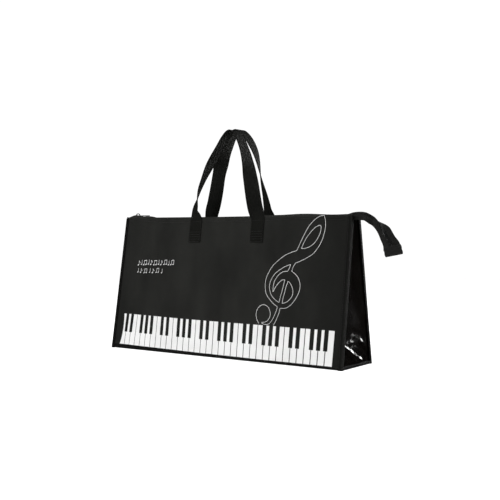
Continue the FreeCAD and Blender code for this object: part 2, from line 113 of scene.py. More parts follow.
def make(name, verts, faces, uv=None, wear=None, mats=(), face_mat=None, sharp=40.0, body="shell", slot=None, closed=True):
    """Mesh object from millimetre points. Faces are turned so that a closed mesh's normals point out."""
    v = np.asarray(verts, float).reshape(-1, 3)
    if closed:
        # the sum over a sample of faces isn't enough, so a fast full sum by arrays
        tri = []
        for f in faces:
            for i in range(1, len(f) - 1):
                tri.append((f[0], f[i], f[i + 1]))
        tri = np.array(tri)
        o = v.mean(0)
        a, b, c = v[tri[:, 0]] - o, v[tri[:, 1]] - o, v[tri[:, 2]] - o
        if float(np.einsum("ij,ij->i", a, np.cross(b, c)).sum()) < 0:
            faces = [tuple(reversed(f)) for f in faces]
    me = bpy.data.meshes.new(name)
    me.from_pydata((v * MM).tolist(), [], [tuple(int(i) for i in f) for f in faces])
    me.validate()
    if uv is not None:
        layer = me.uv_layers.new(name="cloth")
        idx = np.zeros(len(me.loops), np.int32)
        me.loops.foreach_get("vertex_index", idx)
        layer.data.foreach_set("uv", np.asarray(uv, np.float32).reshape(-1, 2)[idx].ravel())
    if wear is not None:
        at = me.attributes.new("wear", "FLOAT", "POINT")
        at.data.foreach_set("value", np.asarray(wear, np.float32).ravel())
    for m in mats:
        me.materials.append(m)
    if face_mat is not None and len(face_mat) == len(me.polygons):
        me.polygons.foreach_set("material_index", np.asarray(face_mat, np.int32))
    me.polygons.foreach_set("use_smooth", np.ones(len(me.polygons), bool))
    me.set_sharp_from_angle(angle=math.radians(sharp))
    me.update()
    ob = bpy.data.objects.new(name, me)
    bpy.context.scene.collection.objects.link(ob)
    if body:
        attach(ob, body)
    return ob


def grid_normals(p):
    du, dv = np.gradient(p, axis=0), np.gradient(p, axis=1)
    return unit(np.cross(du, dv))


def slab_faces(m, n, base=0):
    """Faces of a closed slab made of two (m, n) grids of points, the second right after the first."""
    q = base
    k = base + m * n
    f = []
    for i in range(m - 1):
        for j in range(n - 1):
            a, b, c, d = i * n + j, (i + 1) * n + j, (i + 1) * n + j + 1, i * n + j + 1
            f.append((q + a, q + b, q + c, q + d))
            f.append((k + d, k + c, k + b, k + a))
    for i in range(m - 1):
        a, b = i * n, (i + 1) * n
        f.append((q + b, q + a, k + a, k + b))
        a, b = i * n + n - 1, (i + 1) * n + n - 1
        f.append((q + a, q + b, k + b, k + a))
    for j in range(n - 1):
        a, b = j, j + 1
        f.append((q + a, q + b, k + b, k + a))
        a, b = (m - 1) * n + j, (m - 1) * n + j + 1
        f.append((q + b, q + a, k + a, k + b))
    return f


def slab(name, outer, inner, uv, wear=None, **kw):
    m, n = outer.shape[:2]
    v = np.concatenate([outer.reshape(-1, 3), inner.reshape(-1, 3)])
    w = None if wear is None else np.concatenate([np.ravel(wear)] * 2)
    return make(name, v, slab_faces(m, n), uv=np.concatenate([uv.reshape(-1, 2)] * 2), wear=w, **kw)


def masked_slab(top, low, mask):
    """Vertices and faces of a slab whose cells are there only where mask is true."""
    m, n = top.shape[:2]
    v = np.concatenate([top.reshape(-1, 3), low.reshape(-1, 3)])
    k = m * n
    f = []
    for i in range(m - 1):
        for j in range(n - 1):
            if not mask[i, j]:
                continue
            a, b, c, d = i * n + j, (i + 1) * n + j, (i + 1) * n + j + 1, i * n + j + 1
            f.append((a, b, c, d))
            f.append((k + d, k + c, k + b, k + a))
            if j == 0 or not mask[i, j - 1]:
                f.append((b, a, k + a, k + b))
            if j == n - 2 or not mask[i, j + 1]:
                f.append((d, c, k + c, k + d))
            if i == 0 or not mask[i - 1, j]:
                f.append((a, d, k + d, k + a))
            if i == m - 2 or not mask[i + 1, j]:
                f.append((c, b, k + b, k + c))
    used = sorted({i for q in f for i in q})
    back = {o: i for i, o in enumerate(used)}
    return v[used], [tuple(back[i] for i in q) for q in f]


class Heap:
    """Many small closed shapes gathered in one mesh."""

    def __init__(self):
        self.v, self.f, self.uv, self.count = [], [], [], 0

    def add(self, v, f, uv=None):
        v = np.asarray(v, float).reshape(-1, 3)
        self.v.append(v)
        self.f += [tuple(i + self.count for i in q) for q in f]
        self.uv.append(np.zeros((len(v), 2)) if uv is None else np.asarray(uv, float).reshape(-1, 2))
        self.count += len(v)

    def build(self, name, **kw):
        return make(name, np.concatenate(self.v), self.f, uv=np.concatenate(self.uv), **kw)


def ring_faces(k, m, caps=True, base=0):
    """Faces of k rings of m points each, lofted, with end caps."""
    f = []
    for i in range(k - 1):
        for j in range(m):
            a, b = i * m + j, i * m + (j + 1) % m
            f.append((base + a, base + b, base + b + m, base + a + m))
    if caps:
        f.append(tuple(base + j for j in reversed(range(m))))
        f.append(tuple(base + (k - 1) * m + j for j in range(m)))
    return f


def turned(v, f):
    """The same faces, with their normals pointing out of the closed shape."""
    v = np.asarray(v, float).reshape(-1, 3)
    return [tuple(reversed(q)) for q in f] if signed_volume(v - v.mean(0), f) < 0 else f


def smooth_path(points, spacing=1.5, rounds=2):
    """A dense smooth path through rough points (Catmull-Rom, then evened out)."""
    p = np.asarray(points, float)
    ext = np.vstack([2 * p[0] - p[1], p, 2 * p[-1] - p[-2]])
    out = []
    for i in range(1, len(ext) - 2):
        p0, p1, p2, p3 = ext[i - 1], ext[i], ext[i + 1], ext[i + 2]
        n = max(2, int(np.linalg.norm(p2[:3] - p1[:3]) / spacing * 2))
        t = np.linspace(0, 1, n, endpoint=False)[:, None]
        out.append(0.5 * (2 * p1 + (p2 - p0) * t + (2 * p0 - 5 * p1 + 4 * p2 - p3) * t**2 + (3 * p1 - p0 - 3 * p2 + p3) * t**3))
    out = np.vstack(out + [p[-1:]])
    s = np.r_[0, np.cumsum(np.linalg.norm(np.diff(out[:, :3], axis=0), axis=1))]
    n = max(3, int(round(s[-1] / spacing)) + 1)
    even = np.linspace(0, s[-1], n)
    out = np.stack([np.interp(even, s, out[:, i]) for i in range(out.shape[1])], 1)
    for _ in range(rounds):
        out[1:-1] = 0.25 * out[:-2] + 0.5 * out[1:-1] + 0.25 * out[2:]
    return out


# ------------------------------------------------------------------ materials
def new_material(name):
    m = bpy.data.materials.new(name)
    m.use_nodes = True
    nt = m.node_tree
    for n in list(nt.nodes):
        nt.nodes.remove(n)
    out = nt.nodes.new("ShaderNodeOutputMaterial")
    bsdf = nt.nodes.new("ShaderNodeBsdfPrincipled")
    nt.links.new(bsdf.outputs[0], out.inputs[0])
    return m, nt, bsdf


def node(nt, kind, links=None, **props):
    n = nt.nodes.new(kind)
    for k, v in props.items():
        if k.startswith("in_"):
            n.inputs[int(k[3:])].default_value = v
        else:
            setattr(n, k, v)
    for k, src in (links or {}).items():
        nt.links.new(src, n.inputs[k])
    return n


def math_node(nt, op, a, b=None):
    n = nt.nodes.new("ShaderNodeMath")
    n.operation = op
    for i, s in enumerate((a, b)):
        if s is None:
            continue
        if isinstance(s, (int, float)):
            n.inputs[i].default_value = float(s)
        else:
            nt.links.new(s, n.inputs[i])
    return n.outputs[0]


def mix_colour(nt, fac, a, b):
    n = nt.nodes.new("ShaderNodeMix")
    n.data_type = "RGBA"
    for i, s in ((0, fac), (6, a), (7, b)):
        if isinstance(s, (int, float)):
            n.inputs[i].default_value = float(s)
        elif isinstance(s, (tuple, list)):
            n.inputs[i].default_value = (*s, 1.0) if len(s) == 3 else s
        else:
            nt.links.new(s, n.inputs[i])
    return n.outputs[2]


def uv_parts(nt):
    uv = node(nt, "ShaderNodeUVMap", uv_map="cloth")
    sep = node(nt, "ShaderNodeSeparateXYZ", {0: uv.outputs[0]})
    return uv.outputs[0], sep.outputs[0], sep.outputs[1]


def wave(nt, socket, period, shift=0.0):
    """sin of a length over its period."""
    a = math_node(nt, "MULTIPLY", socket, 2 * PI / period)
    if shift:
        a = math_node(nt, "ADD", a, shift)
    return math_node(nt, "SINE", a)


def noise(nt, scale, detail=3.0, rough=0.5, coords=None):
    if coords is None:
        coords = node(nt, "ShaderNodeTexCoord").outputs["Object"]
    n = node(nt, "ShaderNodeTexNoise", {0: coords})
    n.inputs["Scale"].default_value = scale
    n.inputs["Detail"].default_value = detail
    n.inputs["Roughness"].default_value = rough
    return n.outputs[0]


def ramp(nt, fac, stops):
    r = node(nt, "ShaderNodeValToRGB", {0: fac})
    while len(r.color_ramp.elements) > 1:
        r.color_ramp.elements.remove(r.color_ramp.elements[-1])
    for i, (pos, col) in enumerate(stops):
        e = r.color_ramp.elements[0] if i == 0 else r.color_ramp.elements.new(pos)
        e.position = pos
        e.color = (*col, 1.0) if not isinstance(col, float) else (col, col, col, 1.0)
    return r.outputs[0]


def bump(nt, bsdf, height, distance, strength=1.0, under=None):
    b = node(nt, "ShaderNodeBump", {"Height": height})
    b.inputs["Distance"].default_value = distance
    b.inputs["Strength"].default_value = strength
    if under is not None:
        nt.links.new(under, b.inputs["Normal"])
    if bsdf is not None:
        nt.links.new(b.outputs[0], bsdf.inputs["Normal"])
    return b.outputs[0]


def woven(name, dark, light, worn, period, rough, spec, depth, slub=0.35, sheen=0.0, twill=False, end_shade=0.0):
    """Woven cloth: a weave from the UVs (in millimetres), slubs along the yarns, cloudy colour and worn edges."""
    m, nt, bsdf = new_material(name)
    uv, u, v = uv_parts(nt)
    a, b = wave(nt, u, period), wave(nt, v, period)
    if twill:
        diag = math_node(nt, "ADD", u, v)
        weave = math_node(nt, "MULTIPLY", wave(nt, diag, period * 1.4), wave(nt, u, period * 0.7))
    else:
        weave = math_node(nt, "MULTIPLY", a, b)
    # slubs: noise stretched along warp and weft
    warp = node(nt, "ShaderNodeMapping", {0: uv})
    warp.inputs["Scale"].default_value = (1.6 / period, 0.05, 1.0)
    weft = node(nt, "ShaderNodeMapping", {0: uv})
    weft.inputs["Scale"].default_value = (0.05, 1.6 / period, 1.0)
    s1, s2 = noise(nt, 1.0, 1.0, 0.5, warp.outputs[0]), noise(nt, 1.0, 1.0, 0.5, weft.outputs[0])
    slubs = math_node(nt, "ADD", s1, s2)
    height = math_node(nt, "ADD", math_node(nt, "MULTIPLY", weave, 0.5), math_node(nt, "MULTIPLY", slubs, slub))
    cloud = noise(nt, 9.0, 5.0, 0.6)
    fac = math_node(nt, "ADD", math_node(nt, "MULTIPLY", cloud, 0.55),
                    math_node(nt, "ADD", math_node(nt, "MULTIPLY", weave, 0.16), math_node(nt, "MULTIPLY", slubs, 0.22)))
    if end_shade:
        # painted shade: the cloth is made a little paler along the middle and darker towards both ends, as the light
        # falls across the bag
        along = node(nt, "ShaderNodeSeparateXYZ", {0: node(nt, "ShaderNodeTexCoord").outputs["Object"]}).outputs[0]
        ends = math_node(nt, "MULTIPLY", math_node(nt, "MULTIPLY", along, along), 18.0)
        fac = math_node(nt, "SUBTRACT", math_node(nt, "ADD", fac, end_shade * 0.35), math_node(nt, "MULTIPLY", ends, end_shade))
        # soft upright blotches of painted light and shade, standing for the shading of shallow folds in the cloth
        tall = node(nt, "ShaderNodeMapping", {0: node(nt, "ShaderNodeTexCoord").outputs["Object"]})
        tall.inputs["Scale"].default_value = (22.0, 22.0, 8.0)
        tall.inputs["Location"].default_value = (2.6, 0.0, 1.3)
        fold_shading = math_node(nt, "SUBTRACT", noise(nt, 1.0, 2.0, 0.5, tall.outputs[0]), 0.5)
        fac = math_node(nt, "ADD", fac, math_node(nt, "MULTIPLY", fold_shading, 0.95))
    col = mix_colour(nt, ramp(nt, fac, [(0.28, 0.0), (0.78, 1.0)]), dark, light)
    wear = node(nt, "ShaderNodeAttribute", attribute_name="wear")
    scuffs = noise(nt, 420.0, 5.0, 0.7)
    edge = math_node(nt, "MULTIPLY", wear.outputs["Fac"], ramp(nt, scuffs, [(0.42, 0.0), (0.62, 1.0)]))
    col = mix_colour(nt, edge, col, worn)
    nt.links.new(col, bsdf.inputs["Base Color"])
    r = math_node(nt, "ADD", math_node(nt, "MULTIPLY", cloud, 0.14), rough - 0.07)
    nt.links.new(r, bsdf.inputs["Roughness"])
    bsdf.inputs["Specular IOR Level"].default_value = spec
    if sheen:
        bsdf.inputs["Sheen Weight"].default_value = sheen
        bsdf.inputs["Sheen Roughness"].default_value = 0.45
        bsdf.inputs["Sheen Tint"].default_value = (0.75, 0.76, 0.74, 1.0)
    soft = bump(nt, None, noise(nt, 55.0, 2.0, 0.5), 0.0005, 0.35)
    bump(nt, bsdf, height, depth, 0.8, soft)
    return m


def webbing(name, dark, light, worn, rough, spec):
    """Heavy polypropylene webbing: ribs along it, with short slanting picks that reverse from rib to rib."""
    m, nt, bsdf = new_material(name)
    uv, u, v = uv_parts(nt)
    rib = math_node(nt, "ABSOLUTE", wave(nt, u, 4.1))
    flip = math_node(nt, "SIGN", wave(nt, u, 4.1))
    slant = math_node(nt, "ADD", v, math_node(nt, "MULTIPLY", math_node(nt, "MULTIPLY", u, flip), 0.85))
    pick = math_node(nt, "ABSOLUTE", wave(nt, slant, 3.0))
    height = math_node(nt, "ADD", math_node(nt, "MULTIPLY", rib, 0.6), math_node(nt, "MULTIPLY", pick, 0.5))
    fine = node(nt, "ShaderNodeMapping", {0: uv})
    fine.inputs["Scale"].default_value = (6.0, 1.1, 1.0)
    fibres = noise(nt, 1.0, 3.0, 0.6, fine.outputs[0])
    height = math_node(nt, "ADD", height, math_node(nt, "MULTIPLY", fibres, 0.5))
    fac = math_node(nt, "ADD", math_node(nt, "MULTIPLY", height, 0.42), math_node(nt, "MULTIPLY", noise(nt, 30.0, 3.0), 0.35))
    col = mix_colour(nt, ramp(nt, fac, [(0.3, 0.0), (0.85, 1.0)]), dark, light)
    wear = node(nt, "ShaderNodeAttribute", attribute_name="wear")
    edge = math_node(nt, "MULTIPLY", wear.outputs["Fac"], ramp(nt, noise(nt, 500.0, 4.0, 0.7), [(0.4, 0.0), (0.65, 1.0)]))
    nt.links.new(mix_colour(nt, edge, col, worn), bsdf.inputs["Base Color"])
    nt.links.new(math_node(nt, "ADD", math_node(nt, "MULTIPLY", fibres, 0.2), rough - 0.1), bsdf.inputs["Roughness"])
    bsdf.inputs["Specular IOR Level"].default_value = spec
    bump(nt, bsdf, height, 0.0006, 1.0)
    return m


def ribbed_tape(name, dark, light, rough, spec, period=0.55):
    """Zip tape: fine ribs across it and faint lines along it."""
    m, nt, bsdf = new_material(name)
    uv, u, v = uv_parts(nt)
    ribs = wave(nt, v, period)
    lines = wave(nt, u, 1.3)
    height = math_node(nt, "ADD", math_node(nt, "MULTIPLY", ribs, 0.5), math_node(nt, "MULTIPLY", lines, 0.25))
    cloud = noise(nt, 40.0, 3.0)
    fac = math_node(nt, "ADD", math_node(nt, "MULTIPLY", cloud, 0.8), math_node(nt, "MULTIPLY", height, 0.3))
    nt.links.new(mix_colour(nt, ramp(nt, fac, [(0.2, 0.0), (0.7, 1.0)]), dark, light), bsdf.inputs["Base Color"])
    nt.links.new(math_node(nt, "ADD", math_node(nt, "MULTIPLY", cloud, 0.2), rough - 0.1), bsdf.inputs["Roughness"])
    bsdf.inputs["Specular IOR Level"].default_value = spec
    bump(nt, bsdf, height, 0.00012, 0.8)
    return m


def vinyl(name):
    """Black wet-look coated cloth: smooth, with fine creasing and a faint orange peel."""
    m, nt, bsdf = new_material(name)
    cloud = noise(nt, 18.0, 4.0)
    nt.links.new(mix_colour(nt, ramp(nt, cloud, [(0.3, 0.0), (0.7, 1.0)]), (0.0010, 0.0007, 0.0005), (0.0022, 0.0016, 0.0012)), bsdf.inputs["Base Color"])
    fine = noise(nt, 900.0, 2.0, 0.5)
    nt.links.new(math_node(nt, "ADD", math_node(nt, "MULTIPLY", noise(nt, 60.0, 3.0), 0.16), 0.08), bsdf.inputs["Roughness"])
    bsdf.inputs["Specular IOR Level"].default_value = 0.3
    bsdf.inputs["Coat Weight"].default_value = 0.22
    bsdf.inputs["Coat Roughness"].default_value = 0.07
    soft = bump(nt, None, noise(nt, 70.0, 3.0, 0.55), 0.0009, 0.25)
    bump(nt, bsdf, fine, 0.00003, 0.5, soft)
    return m


def enamel(name, base, rough, metallic=0.0):
    """Painted zinc: soft gloss with tiny chips and handling marks."""
    m, nt, bsdf = new_material(name)
    cloud = noise(nt, 300.0, 4.0)
    marks = ramp(nt, noise(nt, 1600.0, 2.0), [(0.66, 0.0), (0.74, 1.0)])
    nt.links.new(mix_colour(nt, math_node(nt, "MULTIPLY", marks, 0.35), mix_colour(nt, cloud, base, tuple(1.7 * c for c in base)), (0.16, 0.16, 0.16)), bsdf.inputs["Base Color"])
    nt.links.new(math_node(nt, "ADD", math_node(nt, "MULTIPLY", cloud, 0.2), rough - 0.1), bsdf.inputs["Roughness"])
    bsdf.inputs["Specular IOR Level"].default_value = 0.22
    if metallic:
        bsdf.inputs["Metallic"].default_value = metallic
    bump(nt, bsdf, cloud, 0.00002, 0.4)
    return m


def nylon(name):
    m, nt, bsdf = new_material(name)
    cloud = noise(nt, 700.0, 3.0)
    nt.links.new(mix_colour(nt, cloud, (0.003, 0.003, 0.003), (0.008, 0.008, 0.0075)), bsdf.inputs["Base Color"])
    nt.links.new(math_node(nt, "ADD", math_node(nt, "MULTIPLY", cloud, 0.2), 0.45), bsdf.inputs["Roughness"])
    bsdf.inputs["Specular IOR Level"].default_value = 0.4
    bump(nt, bsdf, cloud, 0.00003, 0.4)
    return m


def thread_material(name):
    m, nt, bsdf = new_material(name)
    uv, u, v = uv_parts(nt)
    twist = wave(nt, math_node(nt, "ADD", u, math_node(nt, "MULTIPLY", v, 1.6)), 0.55)
    nt.links.new(mix_colour(nt, ramp(nt, math_node(nt, "ADD", math_node(nt, "MULTIPLY", twist, 0.35), noise(nt, 300.0, 2.0)), [(0.2, 0.0), (0.8, 1.0)]),
                            (0.006, 0.006, 0.006), (0.020, 0.020, 0.019)), bsdf.inputs["Base Color"])
    bsdf.inputs["Roughness"].default_value = 0.5
    bsdf.inputs["Specular IOR Level"].default_value = 0.35
    bump(nt, bsdf, twist, 0.00006, 0.8)
    return m


def ink(name):
    """Matt white screen print: even, with the cloth's grain showing through and pin-prick thin spots."""
    m, nt, bsdf = new_material(name)
    uv, u, v = uv_parts(nt)
    weave = math_node(nt, "MULTIPLY", wave(nt, u, 0.7), wave(nt, v, 0.7))
    cloud = noise(nt, 26.0, 4.0, 0.6)
    thin = ramp(nt, noise(nt, 1500.0, 2.0, 0.5), [(0.70, 0.0), (0.80, 1.0)])
    col = mix_colour(nt, ramp(nt, cloud, [(0.3, 0.0), (0.75, 1.0)]), (0.72, 0.72, 0.715), (0.82, 0.82, 0.815))
    col = mix_colour(nt, math_node(nt, "MULTIPLY", thin, 0.3), col, (0.45, 0.45, 0.45))
    nt.links.new(col, bsdf.inputs["Base Color"])
    nt.links.new(math_node(nt, "ADD", math_node(nt, "MULTIPLY", cloud, 0.15), 0.52), bsdf.inputs["Roughness"])
    bsdf.inputs["Specular IOR Level"].default_value = 0.25
    bump(nt, bsdf, weave, 0.00005, 0.5)
    return m


def chipboard(name):
    m, nt, bsdf = new_material(name)
    flakes = node(nt, "ShaderNodeTexVoronoi", {0: node(nt, "ShaderNodeTexCoord").outputs["Object"]})
    flakes.inputs["Scale"].default_value = 260.0
    n = noise(nt, 120.0, 5.0, 0.6)
    nt.links.new(mix_colour(nt, math_node(nt, "MULTIPLY", math_node(nt, "ADD", n, flakes.outputs[0]), 0.6), (0.10, 0.085, 0.065), (0.22, 0.19, 0.15)), bsdf.inputs["Base Color"])
    nt.links.new(math_node(nt, "ADD", math_node(nt, "MULTIPLY", n, 0.2), 0.7), bsdf.inputs["Roughness"])
    bsdf.inputs["Specular IOR Level"].default_value = 0.2
    bump(nt, bsdf, n, 0.0001, 0.6)
    return m


MAT = {
    # the body cloth carries painted shade towards its ends and painted light and shade over soft folds
    "panel_cloth": woven("panel_cloth", (0.0095, 0.0097, 0.0088), (0.0185, 0.0187, 0.0170), (0.040, 0.040, 0.037), 0.75, 0.80, 0.08, 0.00012, sheen=0.03, end_shade=0.40),
    # painted shade: the binding tape is made darker than the body cloth for its turned-under, shaded faces; its lighter
    # copy is painted light for the front right binding, whose face catches the light
    "binding_tape": woven("binding_tape", (0.0012, 0.0012, 0.0011), (0.0034, 0.0034, 0.0031), (0.014, 0.014, 0.013), 0.6, 0.74, 0.06, 0.00012, twill=True),
    "lit_binding": woven("lit_binding", (0.0045, 0.0046, 0.0042), (0.0105, 0.0106, 0.0097), (0.020, 0.020, 0.019), 0.6, 0.78, 0.06, 0.00012, twill=True),
    "webbing": webbing("webbing", (0.0016, 0.0017, 0.0012), (0.0105, 0.0108, 0.0088), (0.030, 0.030, 0.028), 0.62, 0.10),
    "zip_tape": ribbed_tape("zip_tape", (0.0085, 0.0085, 0.0080), (0.0165, 0.0165, 0.0155), 0.66, 0.14),
    "tab_cloth": woven("tab_cloth", (0.0110, 0.0110, 0.0105), (0.0190, 0.0190, 0.0180), (0.050, 0.050, 0.048), 0.75, 0.72, 0.14, 0.00012),
    "gusset_vinyl": vinyl("gusset_vinyl"),
    "zip_teeth": nylon("zip_teeth"),
    "zip_metal": enamel("zip_metal", (0.003, 0.003, 0.003), 0.72),
    "thread": thread_material("thread"),
    "white_print": ink("white_print"),
    "base_board": chipboard("base_board"),
}

# ------------------------------------------------------------------ the bag's one shared surface
H = 233.0
FOOT = 0.6          # the cloth's base rides this high on the turned strips and bindings


def half_len(z):
    return 234.0 - 4.4 * np.asarray(z, float) / H


EDGE_X = [-230, -224, -218, -210, -198, -187, -178, -161, -142, -123, -104, -75, -51, 0, 40, 75, 94, 109, 123, 138, 152, 167, 180, 194, 208, 221, 230]
EDGE_Z = [1.2, 0.8, 2.6, 4.4, 3.7, 2.0, 1.5, 0.3, -0.4, -1.1, -1.2, -0.8, -0.3, 0.2, 0.5, 1.5, 2.0, 2.3, 2.9, 3.5, 3.6, 3.2, 2.5, 2.0, 2.1, 2.5, 2.4]
BACK_X = [-230, -215, -205, -192, -178, -100, 0, 100, 180, 205, 230]
BACK_Z = [0.4, 2.2, 2.9, 2.4, -0.2, -1.3, -0.8, -0.5, 0.4, 1.0, 1.6]


def edge_rise(x, side):
    """How far the top edge rises over its nominal height."""
    return lerp_smooth(x, EDGE_X, EDGE_Z) if side < 0 else lerp_smooth(x, BACK_X, BACK_Z)


def depth(x, z, side):
    """Half depth over the cloth's outer face at x along the bag and height z."""
    x, z = np.asarray(x, float), np.asarray(z, float)
    s = z / H
    u = np.clip(np.abs(x) / half_len(z), 0, 1)
    top = 18.0 - (6.5 if side < 0 else 3.8) * u**2.4
    d = 49.4 + (top - 49.4) * s
    k = 1.0 if side < 0 else 0.8
    p = 0.0 if side < 0 else 2.1
    # the cloth bellies a little over the board, gives between the handles and ripples softly
    belly = 1.3 * np.sin(PI * np.clip(s, 0, 1)) ** 1.5 * np.cos(0.5 * PI * u) ** 0.8
    ripple = (0.75 * np.sin(x / 41.0 + 0.9 + p + 0.8 * s) * np.sin(PI * s) * (0.35 + 0.65 * s)
              + 0.42 * np.sin(x / 17.5 - 1.1 + p + 1.9 * s) * np.sin(PI * s) ** 2
              + 0.45 * np.sin(np.abs(x) / 5.6 + 0.5 + s) * step((np.abs(x) - 150.0) / 40.0) * step((s - 0.35) / 0.4) * (1 - step((s - 0.9) / 0.07))
              + 0.35 * np.sin(s * 7.0 + x / 120.0 + p) * np.sin(PI * s))
    # slack gathers between the handle feet and the ends, just under the hem
    tug = 0.0
    for cx, a in ((-64.3, 0.7), (60.5, 0.7)):
        tug = tug - a * np.exp(-((x - cx) / 20.0) ** 2) * np.exp(-((z - 178.0) / 16.0) ** 2)
    # the hem's seam pulls a shallow groove along the topstitching
    seam = -0.28 * np.exp(-((z - 224.8) / 1.5) ** 2) + 0.12 * step((z - 224.0) / 3.0)
    return d + k * (belly + ripple + tug) * (1 - u**6) + seam * (1 - np.exp(-((np.abs(u) - 1) / 0.01) ** 2))


def height(x, z, side):
    x, z = np.asarray(x, float), np.asarray(z, float)
    w = step((z - 150.0) / 75.0)
    return z + w * edge_rise(x, side)


def panel(side, x, z, off=0.0):
    """Point of the front (side -1) or back (side 1) panel, off millimetres proud of its outer face, and the normal there."""
    x, z = np.broadcast_arrays(np.asarray(x, float), np.asarray(z, float))
    e = 0.4
    y = depth(x, z, side)
    yx = (depth(x + e, z, side) - depth(x - e, z, side)) / (2 * e)
    yz = (depth(x, z + e, side) - depth(x, z - e, side)) / (2 * e)
    hz = height(x, z, side)
    hx = (height(x + e, z, side) - height(x - e, z, side)) / (2 * e)
    hh = (height(x, z + e, side) - height(x, z - e, side)) / (2 * e)
    n = unit(np.stack([hx * yz - yx * hh, hh, -yz], -1))
    p = np.stack([x, y, hz], -1) + n * np.asarray(off, float)[..., None]
    flip = np.array([1.0, float(side), 1.0])
    return p * flip, n * flip


BEND = 3.0          # outer radius of the turn from panel to base
Z_BEND = BEND + FOOT + 0.44


def base_bend(side, x, theta, off):
    """The turn from the panel to the base: theta goes from the panel's lean to straight down."""
    p, n = panel(side, x, np.full_like(np.asarray(x, float), Z_BEND))
    c = p - n * BEND
    c[..., 2] = BEND + FOOT
    r = BEND + off
    return c + np.stack([np.zeros_like(theta * x), side * np.cos(theta) * r + 0 * x, np.sin(theta) * r + 0 * x], -1)


def cloth_profile(u, mid):
    """The line of the body cloth, hem to hem, at share u along the bag; mid is the offset of the surface from the outer face."""
    rows, run = [], []
    for side in (-1, 1):
        part = []
        inner = -2.45 - 2 * mid - 0.0
        # turned hem inside, fold over the top edge, then down the outer face
        for z in np.linspace(208.0, 231.6, 11):
            part.append(panel(side, u * half_len(z), np.full_like(u, z), -2.45 - mid)[0])
        for a in np.linspace(0, PI, 9)[1:-1]:
            r = 0.625 + (0.6 + mid)
            z = 231.6 + r * math.sin(a)
            off = -1.225 - r * math.cos(a)
            part.append(panel(side, u * half_len(231.6), np.full_like(u, z), off)[0])
        for z in np.concatenate([np.linspace(231.6, 219.0, 12), np.linspace(216.0, Z_BEND, 76)]):
            part.append(panel(side, u * half_len(z), np.full_like(u, z), mid)[0])
        lean = math.radians(7.8)
        for t in np.linspace(lean, -PI / 2, 8)[1:]:
            part.append(base_bend(side, u * 234.0, np.full_like(u, t), mid))
        if side < 0:
            front = part
        else:
            back = part
    a, b = front[-1], back[-1]
    middle = []
    for t in np.linspace(0, 1, 26)[1:-1]:
        q = a * (1 - t) + b * t
        q[:, 2] += 0.25 * math.sin(PI * t) * np.cos(u * 9.0) ** 2
        middle.append(q)
    return np.array(front + middle + back[::-1])


U = np.concatenate([np.linspace(-1, -0.985, 4), np.linspace(-0.985, 0.985, 158)[1:-1], np.linspace(0.985, 1, 4)])
outer = cloth_profile(U, 0.0)
inner = cloth_profile(U, -1.2)
run = np.r_[0, np.cumsum(np.linalg.norm(np.diff(outer[:, len(U) // 2], axis=0), axis=1))]
uv = np.stack([np.broadcast_to(U * 232.0, outer.shape[:2]), np.broadcast_to(run[:, None], outer.shape[:2])], -1)
rows = len(outer)
wear = np.zeros(outer.shape[:2])
wear += np.exp(-((outer[..., 2] - 234.0) / 2.2) ** 2) * 0.6
wear += np.exp(-((outer[..., 2] - 3.0) / 3.0) ** 2) * (np.abs(outer[..., 1]) > 44) * 0.8
cloth = slab("bag_cloth", outer, inner, uv, wear, mats=[MAT["panel_cloth"]], slot="panel_cloth", sharp=50)
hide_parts("bottom_panel", "front_panel", "back_panel", "front_top_hem", "back_top_hem")


# ------------------------------------------------------------------ gussets
def corner_depth(z, side):
    return depth(half_len(z), z, side)


def seg_distance(y, z, pts):
    """Distance from points to a polyline, and the share along it."""
    best = np.full(y.shape, 1e9)
    share = np.zeros(y.shape)
    total = sum(math.hypot(b[0] - a[0], b[1] - a[1]) for a, b in zip(pts, pts[1:]))
    gone = 0.0
    for a, b in zip(pts, pts[1:]):
        dy, dz = b[0] - a[0], b[1] - a[1]
        l2 = dy * dy + dz * dz
        t = np.clip(((y - a[0]) * dy + (z - a[1]) * dz) / l2, 0, 1)
        d = np.hypot(y - a[0] - t * dy, z - a[1] - t * dz)
        near = d < best
        best = np.where(near, d, best)
        share = np.where(near, (gone + t * math.sqrt(l2)) / total, share)
        gone += math.sqrt(l2)
    return best, share


# creases of the coated cloth near the base: (line in y and z, height of the ridge, half width)
CREASES = [
    ([(-49, 37.5), (-42.5, 36.5), (-28, 29.8), (-14.6, 22.8), (4.3, 13.6), (23.6, 6.0)], 2.8, 3.4),
    ([(-47, 33.5), (-41.1, 31.0), (-27.9, 23.0), (-11.9, 15.6), (0, 9.5)], 1.7, 2.6),
    ([(-48, 41.0), (-42.5, 40.2), (-28.1, 38.0), (-14.9, 38.8), (0, 38.6), (14.7, 37.2), (30, 33)], 0.7, 4.2),
    ([(-10, 50), (-1.2, 46.9), (12.0, 41.5), (26, 31), (38, 17)], 1.3, 6.0),
    ([(-45, 22), (-38.8, 18.8), (-30, 9.5)], 1.1, 4.5),
    ([(-16, 33), (0, 29.5), (18.9, 22.5), (36, 10)], 0.9, 5.5),
    ([(-40, 66), (-20, 60), (2, 62), (20, 54)], 0.7, 8.0),
    ([(36, 92), (22, 78), (14, 60)], 0.7, 9.0),
]


